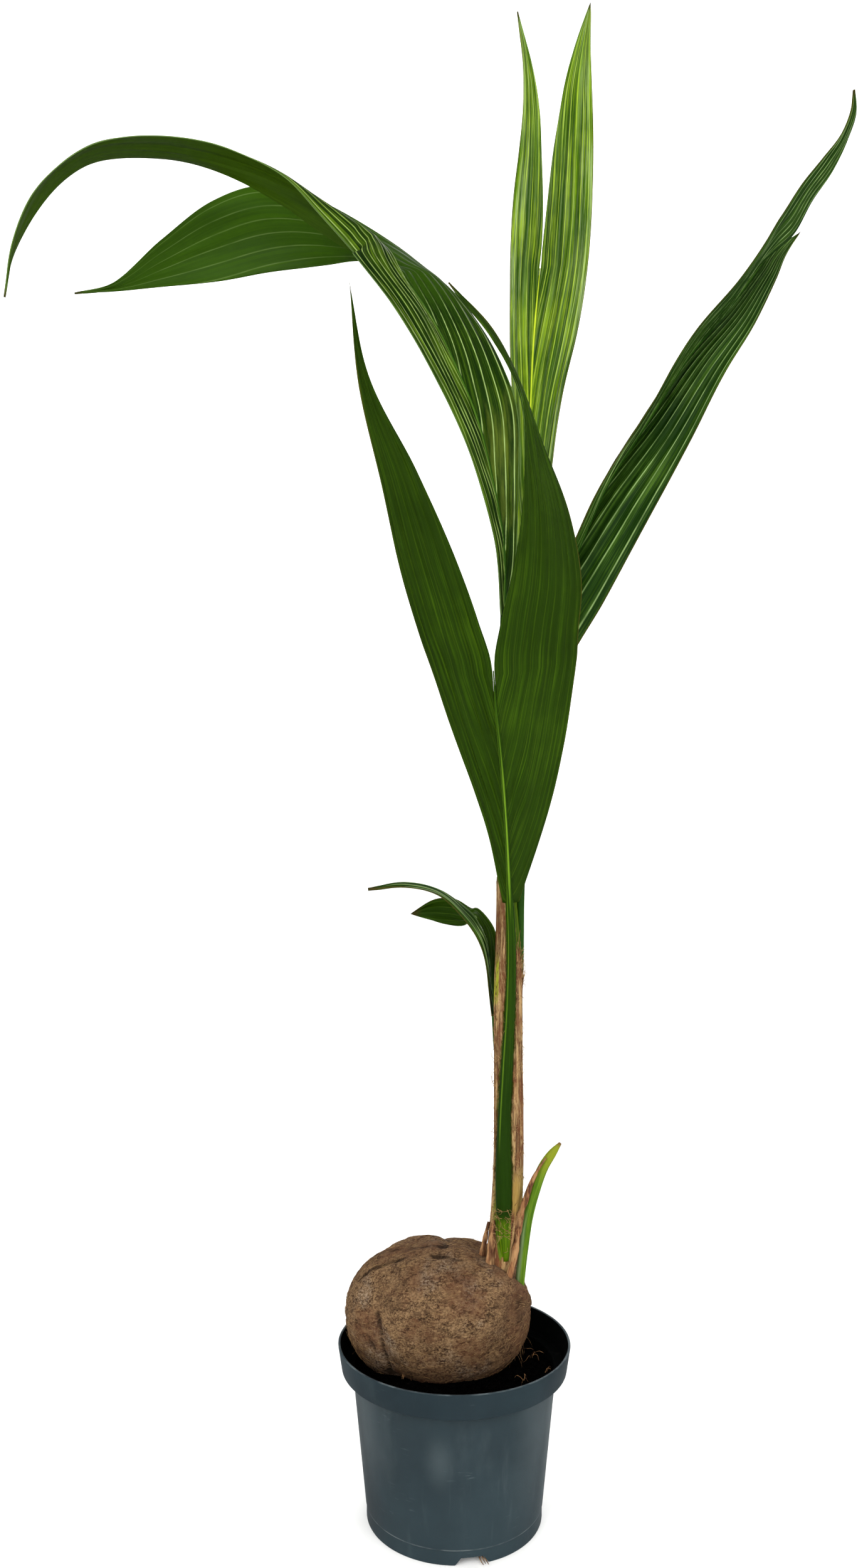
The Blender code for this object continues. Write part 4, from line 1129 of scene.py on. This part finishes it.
def make_soil(look, husk):
    """Crumbly soil that dips under the husk. Gives back its surface for the roots."""
    edge = wall_radius(SOIL_TOP) - WALL - 0.0003
    foot = wall_radius(FLOOR) - WALL - 0.0006
    low = FLOOR + 0.0003
    top = np.stack((edge * np.linspace(0.02, 1.0, SOIL_RINGS) ** 0.8, np.full(SOIL_RINGS, SOIL_TOP)), axis=1)
    side = ((edge, SOIL_TOP - 0.004), (foot + (edge - foot) * 0.5, 0.065), (foot, low), (0.01, low))
    points = turned_points(np.concatenate((top, side)), SOIL_STEPS)
    bed = points[:SOIL_RINGS]
    share = np.linalg.norm(bed[..., :2], axis=-1) / edge
    lift = 0.0030 * (1 - share ** 2) + 0.0016 * rough_noise(bed, 0.011, 60, 4, 0.6)
    bed[..., 2] += lift - 0.0006 - 0.0012 * ramp(share, 0.9, 1.0)
    bottom = BVHTree.FromObject(husk, bpy.context.evaluated_depsgraph_get())
    for place in bed.reshape(-1, 3):
        hit = bottom.ray_cast(Vector((place[0], place[1], 0.0)), Vector((0.0, 0.0, 1.0)))
        if hit[0] is not None:
            place[2] = min(place[2], hit[0].z - 0.0004)
    faces = capped_faces(len(points), SOIL_STEPS)
    soil = add_closed("fine_soil", points, faces, look, "potting_soil", "soil")
    return BVHTree.FromObject(soil, bpy.context.evaluated_depsgraph_get())


# Husk

def husk_reach(directions):
    """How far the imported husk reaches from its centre."""
    local = directions @ HUSK_AXES
    reach = np.sum(np.abs(local / HUSK_HALVES) ** HUSK_SQUARENESS, axis=-1) ** (-1.0 / HUSK_SQUARENESS)
    for start, place, depth, width in HUSK_SEAMS:
        start = unit(np.array(start))
        place = unit(np.array(place))
        off = np.arcsin(np.clip(directions @ unit(np.cross(start, place)), -1.0, 1.0))
        near = np.clip(0.5 + 2.0 * (directions @ unit(start + place)), 0.0, 1.0)
        reach = reach * (1.0 - depth * near * np.exp(-(off / width) ** 2))
    right, back, up = np.moveaxis(local / HUSK_HALVES, -1, 0)
    along = np.degrees(np.arccos(right / np.sqrt(right ** 2 + back ** 2 + up ** 2)))
    turned = np.degrees(np.arctan2(up, -back)) - LOBE_ROUND
    turn_width = np.where(turned < 0.0, LOBE_FRONT_WIDTH, LOBE_BACK_WIDTH)
    off = ((along - LOBE_ALONG) / LOBE_ALONG_WIDTH) ** 2 + (turned / turn_width) ** 2
    return reach + LOBE_HEIGHT * np.exp(-off)


def beside_line(points, line):
    """Distance of points from a line of places."""
    best = np.full(points.shape[:-1], 9.0)
    for start, end in zip(line, line[1:]):
        along = end - start
        share = np.clip(((points - start) @ along) / (along @ along), 0.0, 1.0)
        best = np.minimum(best, np.linalg.norm(points - start - share[..., None] * along, axis=-1))
    return best


def husk_surface(directions):
    """Places on the fine husk, and how raised each is over its surroundings."""
    reach = husk_reach(directions)
    points = HUSK_CENTRE + reach[..., None] * directions
    local = (points - HUSK_CENTRE) @ HUSK_AXES
    drawn = local * (0.3, 1.0, 1.0)
    lumps = smooth_noise(local * (0.6, 1.0, 1.0), 0.028, 21)
    bent = drawn + 0.002 * smooth_noise(local, 0.02, 30)[..., None]
    ridges = 1.0 - 2.2 * np.abs(smooth_noise(bent, 0.0072, 22))
    fibres = rough_noise(drawn * (0.5, 1.0, 1.0), 0.0024, 23, 3, 0.7)
    pits = ramp(smooth_noise(local * (0.5, 1.0, 1.0), 0.011, 26), 0.35, 0.8)
    mottle = rough_noise(local * (0.8, 1.0, 1.0), 0.0036, 27, 3, 0.65)
    relief = 0.16 * ridges + 0.42 * fibres + 0.26 * mottle - 0.6 * pits
    height = 0.0012 * lumps + 0.00085 * relief
    for line, width, depth in HUSK_CREASES:
        off = beside_line(points, np.array(line, dtype=float) * MM)
        groove = np.exp(-(off / (width * MM)) ** 2)
        height = height - depth * MM * groove
        # Creases also lower the relief value, which the husk's material turns into painted shade.
        relief = relief - min(depth, 1.6) * min(1.0, 2.6 / width) * groove
    return points + height[..., None] * directions, relief


def husk_directions(polar, angles):
    """Directions from the husk's centre, by their place along it and round it."""
    local = stacked(np.cos(polar), np.sin(polar) * np.cos(angles), np.sin(polar) * np.sin(angles))
    return unit(local * HUSK_HALVES) @ HUSK_AXES.T


def make_husk(look, thread):
    """Weathered husk with creases, drawn-out fibre relief and loose fibres."""
    polar = np.linspace(0.0, math.pi, HUSK_RINGS + 2)[1:-1, None]
    points, relief = husk_surface(husk_directions(polar, around(HUSK_STEPS)[None]))
    body, faces = closed_tube(points)
    values = {"relief": with_ends(relief)}
    husk = add_closed("fine_husk", body, faces, look, "husk_fibre", "coconut_husk", values=values)
    rng = np.random.default_rng(31)
    routes = []
    for _ in range(620):
        start = rng.uniform(0.25, math.pi - 0.25)
        turn = rng.uniform(0.0, math.tau)
        length = rng.uniform(0.06, 0.42) * rng.choice((-1, 1))
        share = shares(9)
        sway = turn + rng.normal(0.0, 0.05) * share + 0.02 * np.sin(share * rng.uniform(3, 9) + turn)
        heading = husk_directions(start + length * share, sway)
        lift = 0.0001 + 0.0016 * rng.uniform(0.0, 1.0) ** 4 * share
        routes.append(husk_surface(heading)[0] + lift[:, None] * heading)
    for _ in range(150):
        start = rng.uniform(0.45, math.pi - 0.35)
        turn = rng.uniform(math.radians(250), math.radians(330))
        heading = husk_directions(np.full(7, start), np.full(7, turn))
        share = shares(7)[:, None]
        drop = np.array((0.0, 0.0, -rng.uniform(0.004, 0.013)))
        away = heading * rng.uniform(0.0005, 0.005) + rng.normal(0.0, 0.0022, 3)
        routes.append(husk_surface(heading)[0] + share ** 0.8 * away + share ** 1.5 * drop)
    add_threads("husk_threads", routes, 0.00016, thread, "husk_fibre")
    return husk


# Stem, shoot, strips and roots

def opening(heights):
    """Left and right edge of the sheath's opening, in degrees round the stem from its left."""
    left, right = (np.interp(heights, SHEATH_OPENING[:, 0], SHEATH_OPENING[:, side]) for side in (1, 2))
    sway = 3.0 * np.clip((right - left) / 20, 0.0, 1.0)
    up = stacked(0.0, 0.0, heights)
    return left + sway * smooth_noise(up, 0.008, 40), right + sway * smooth_noise(up, 0.006, 41)


def make_stem(look, thread):
    """Leaf stem: a torn fibrous sheath that opens over the front leaf's green stalk."""
    rows, _ = smooth_rows(STEM, 0.0015)
    heights = rows[:, 2]
    up = heights[:, None]
    angles = np.degrees(around(STEM_STEPS))
    left, right = (edge[:, None] for edge in opening(heights))
    inside = ramp(angles - left, -2.0, 2.0) * (1 - ramp(angles - right, -2.0, 2.0))
    beside_left = np.clip(1 - (left - angles) / 26, 0.0, 1.0) * (angles < left)
    beside_right = np.clip(1 - (angles - right) / 26, 0.0, 1.0) * (angles > right)
    wrap = (beside_left ** 2 + beside_right ** 2) * ramp(up, 0.222, 0.245) * (1 - ramp(up, 0.40, 0.47))
    skin = stacked(np.cos(around(STEM_STEPS)), np.sin(around(STEM_STEPS)), up * 4.0)
    torn = smooth_noise(skin * (1.0, 1.0, 0.0), 0.16, 44) * 0.009 + rough_noise(skin, 0.10, 45, 3) * 0.004
    right_side = ramp(angles, 84, 100) * (1 - ramp(angles, 215, 235))
    right_top = SHEATH_RIGHT_TOP - SHEATH_FALL * ramp(angles, 118, 172)
    top = right_top * right_side + SHEATH_TOP * (1 - right_side)
    bark = (1 - ramp(up - top - torn, -0.0012, 0.0012)) * (1 - inside)
    fibres = rough_noise(skin * (1.0, 1.0, 0.05), 0.05, 46, 4, 0.7)
    lumps = smooth_noise(skin * (1.0, 1.0, 0.3), 0.5, 50)

    def shape(rows, angles, radii):
        layered = 0.0007 * bark + 0.00035 * fibres * (0.35 + bark) + 0.0004 * lumps
        return radii - 0.0005 + layered + 0.0022 * wrap

    points, faces = closed_tube(tube_points(rows, STEM_STEPS, shape))
    values = {
        "angle": with_ends(np.tile(angles / 360, len(rows))),
        "along": with_ends(np.repeat(heights, STEM_STEPS), heights[0], heights[-1]),
        "bark": with_ends(bark),
    }
    add_closed("fine_stem", points, faces, look, "sheath_fibre", "leaf_stem", values=values)

    routes = []

    def add_route(degrees, height, out):
        """A thread over the stem's skin."""
        degrees, height, out = np.broadcast_arrays(degrees, height, out)
        places = np.stack([np.interp(height, heights, column) for column in rows.T], -1)
        heading = stacked(-np.cos(np.radians(degrees)), -np.sin(np.radians(degrees)), 0.0)
        routes.append(places[:, :3] + (places[:, 3:] + out[:, None]) * heading)

    rng = np.random.default_rng(47)
    share = shares(9)
    # Along the opening's two edges
    for _ in range(170):
        height = rng.uniform(0.218, 0.455)
        edges = opening(np.array((height, height)))
        turn = edges[rng.choice((0, 1), p=(0.4, 0.6))][0] + rng.normal(0.0, 3.0)
        rise = rng.uniform(-0.012, 0.020)
        swing = rng.normal(0.0, 18.0)
        lift = rng.uniform(0.0, 1.0) ** 3 * 0.0050
        curl = rng.uniform(0.0, 6.0) * np.sin(np.linspace(0.0, rng.uniform(2.0, 6.0), 9))
        add_route(turn + swing * share + curl, height + rise * share, 0.0014 + lift * share)
    # Close on the skin
    for _ in range(300):
        height = rng.uniform(0.215, 0.455)
        turn = rng.uniform(108, 300) if rng.uniform() < 0.6 else rng.uniform(-20, 30)
        slant = rng.choice((-1, 1)) * rng.uniform(20, 60)
        rise = rng.uniform(0.008, 0.024)
        add_route(turn + slant * shares(8), height + rise * shares(8), 0.00015)
    # Out of the torn top
    for _ in range(60):
        turn = rng.uniform(104, 215)
        height = SHEATH_RIGHT_TOP - 0.002 - SHEATH_FALL * ramp(turn, 118, 172) + rng.normal(0.0, 0.003)
        lift = rng.uniform(0.0, 0.004)
        rise = rng.uniform(0.003, 0.014)
        part = shares(6)
        add_route(turn + rng.normal(0.0, 0.4, 6) + 3 * part, height + rise * part, 0.0003 + lift * part)
    # Off the left and right outline
    for _ in range(56):
        on_right = rng.uniform() < 0.6
        height = rng.uniform(0.262, 0.462) if on_right else rng.uniform(0.285, 0.41)
        turn = (176 if on_right else 4) + rng.normal(0.0, 16.0)
        out = 0.0002 + rng.uniform(0.0006, 0.0040) * np.sin(share * rng.uniform(1.6, 3.0))
        rise = rng.uniform(-0.012, 0.012)
        add_route(turn + rng.normal(0.0, 6.0) * share, height + rise * share, out)
    # Curled over the opening's foot
    for _ in range(46):
        turn = rng.uniform(44, 104)
        height = rng.uniform(0.232, 0.256)
        swing = rng.normal(14.0, 16.0)
        drop = rng.uniform(-0.012, 0.003)
        curl = 5.0 * np.sin(share * rng.uniform(2.0, 5.0))
        out = 0.0072 + rng.uniform(0.0, 0.004) * np.sin(share * 2.6)
        add_route(turn + swing * share + curl, height + drop * share, out)
    add_threads("stem_threads", routes, 0.00021, thread, "sheath_fibre")


def make_shoot(look, steps=36):
    """Young green shoot with a brown tip."""
    rows, places = smooth_rows(SIDE_SHOOT, 0.0015)

    def shape(rows, angles, radii):
        skin = stacked(np.cos(angles) * 2, np.sin(angles) * 2, rows[:, 2:3] * 10)
        return radii * (0.95 + 0.07 * np.cos(angles * 2) + 0.04 * smooth_noise(skin, 0.5, 52))

    points, faces = closed_tube(tube_points(rows, steps, shape))
    values = {
        "angle": with_ends(np.tile(around(steps) / math.tau, len(rows))),
        "along": with_ends(np.repeat(places / places[-1], steps), 0.0, 1.0),
    }
    add_closed("fine_shoot", points, faces, look, "young_shoot", "side_shoot", values=values)


def make_strip(name, nodes, rows, fold, seed, look):
    """A dry curled strip over rows of place and half width, thicker in its middle."""
    rows, places = smooth_rows(rows, 0.0012)
    beside, front = ring_axes(rows[:, :3])
    share = np.linspace(-1.0, 1.0, 15)
    half_width = rows[:, 3:]
    across = share * half_width * (1 + 0.25 * smooth_noise(stacked(0.0, 0.0, places), 0.006, seed))[:, None]
    curl = fold * (1 - share ** 2) * half_width
    skin = rows[:, None, :3] + across[..., None] * beside[:, None] + curl[..., None] * front[:, None]
    wrinkle = rough_noise(skin * (1.0, 1.0, 0.15), 0.003, seed + 1, 3) * 0.0003
    skin = skin + wrinkle[..., None] * front[:, None]
    thick = (0.0003 + 0.0003 * (1 - share ** 2))[None, :, None] * front[:, None]
    points, faces, _ = shell(skin + thick, skin - thick)
    values = {"relief": np.tile(wrinkle.ravel() * 3000, 2)}
    add_closed(name, points, faces, look, "sheath_fibre", *nodes, values=values)


def make_roots(look, soil):
    """Dry root threads on the soil, and a root tip that looks out of a drainage channel."""
    rng = np.random.default_rng(71)
    routes = []
    for right, back, length, count in ROOT_THREADS:
        for _ in range(count):
            heading = rng.uniform(0.0, math.tau)
            place = np.array((right, back)) * MM + rng.normal(0.0, 0.0016, 2)
            route = []
            for part in shares(9):
                if np.linalg.norm(place) < wall_radius(SOIL_TOP) - WALL - 0.0012:
                    hit = soil.ray_cast(Vector((*place, 0.3)), Vector((0.0, 0.0, -1.0)))
                    arch = 0.004 * math.sin(part * math.pi) * (count > 2)
                    route.append((*place, hit[0].z + 0.0003 + arch))
                heading += rng.normal(0.0, 0.45)
                place = place + np.array((math.cos(heading), math.sin(heading))) * length * MM / 8
            if len(route) > 4:
                routes.append(route)
    add_threads("root_threads", routes, 0.00028, look, "husk_fibre", sides=5)
    share = shares(9)
    tips = []
    for shift, drop in ((0.0, 0.0), (0.0022, 0.0006), (-0.0018, 0.0010)):
        tips.append(stacked(0.0165 + shift + 0.006 * share, -0.055 - 0.017 * share ** 0.8,
                            0.0048 - drop - 0.0030 * share ** 2 + 0.0006 * np.sin(share * 7)))
    add_threads("root_tips", tips, 0.0007, look, "husk_fibre", sides=7)


husk = make_husk(husk_look(), thread_look("husk_thread", (84, 60, 38), (150, 118, 78)))
soil_tree = make_soil(soil_look(), husk)
make_pot(pot_look(), pot_inside_look())
make_roots(thread_look("root_thread", (70, 46, 30), (150, 112, 72)), soil_tree)
make_stem(sheath_look(), thread_look("stem_thread", (96, 64, 38), (158, 124, 80)))
make_shoot(shoot_look())
dry_scale = scale_look()
for strip in STRIPS:
    make_strip(*strip, dry_scale)


# Room

def make_room(steps=96):
    """A pale floor that turns up far behind into a pale wall."""
    bend = np.linspace(0.1, math.pi / 2, 14)
    profile = [(3.0, 0.0), *zip(3.0 + 3.0 * np.sin(bend), 3.0 - 3.0 * np.cos(bend)), (6.0, 9.0)]
    points = turned_points(np.array(profile), steps)
    faces = grid_faces(len(profile), steps, closed=True).tolist() + [range(steps - 1, -1, -1)]
    look = Look("pale_floor", roughness=0.9, specular=0.1)
    look.colour = look.mix(look.noise(look.place(), 0.6, 2.0), (246, 246, 245), (250, 250, 249))
    look.feed(look.shader.inputs["Emission Color"], (255, 255, 255))
    look.feed(look.shader.inputs["Emission Strength"], look.level(look.parts()[2], 0.0, 0.9, 0.0, 0.62))
    room = add_mesh("floor", points, faces, [look.finish()])
    room.visible_glossy = False


def add_light(name, place, aim, width, height, power):
    """A soft rectangular light that faces a place."""
    data = bpy.data.lights.new(name, "AREA")
    data.shape = "RECTANGLE"
    data.size = width
    data.size_y = height
    data.energy = power
    light = bpy.data.objects.new(name, data)
    light.location = place
    light.rotation_euler = (Vector(aim) - Vector(place)).to_track_quat("-Z", "Y").to_euler()
    bpy.context.scene.collection.objects.link(light)


make_room()
add_light("key", (-1.4, -2.2, 1.7), (0.0, 0.0, 0.5), 1.2, 1.6, 32)
add_light("fill", (1.8, -1.9, 1.3), (0.0, 0.0, 0.4), 1.2, 1.8, 24)
add_light("back", (0.6, 2.2, 2.4), (0.0, 0.0, 0.7), 1.6, 1.2, 20)

world = bpy.data.worlds.new("studio")
world.use_nodes = True
world.node_tree.nodes["Background"].inputs["Color"].default_value = (1.0, 1.0, 1.0, 1.0)
world.node_tree.nodes["Background"].inputs["Strength"].default_value = 0.28
bpy.context.scene.world = world
bpy.context.scene.view_settings.view_transform = "Standard"

camera_data = bpy.data.cameras.new("camera")
camera_data.lens = CAMERA_LENS
camera_data.sensor_width = 36.0
camera_data.shift_y = CAMERA_SHIFT
camera_data.clip_start = 0.05
camera_data.clip_end = 50.0
camera = bpy.data.objects.new("camera", camera_data)
camera.location = CAMERA_PLACE
camera.rotation_euler = (math.radians(90), 0.0, 0.0)
bpy.context.scene.collection.objects.link(camera)
bpy.context.scene.camera = camera

for key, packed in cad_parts.items():
    if not packed.hide_render:
        print("still the packed solid:", key)
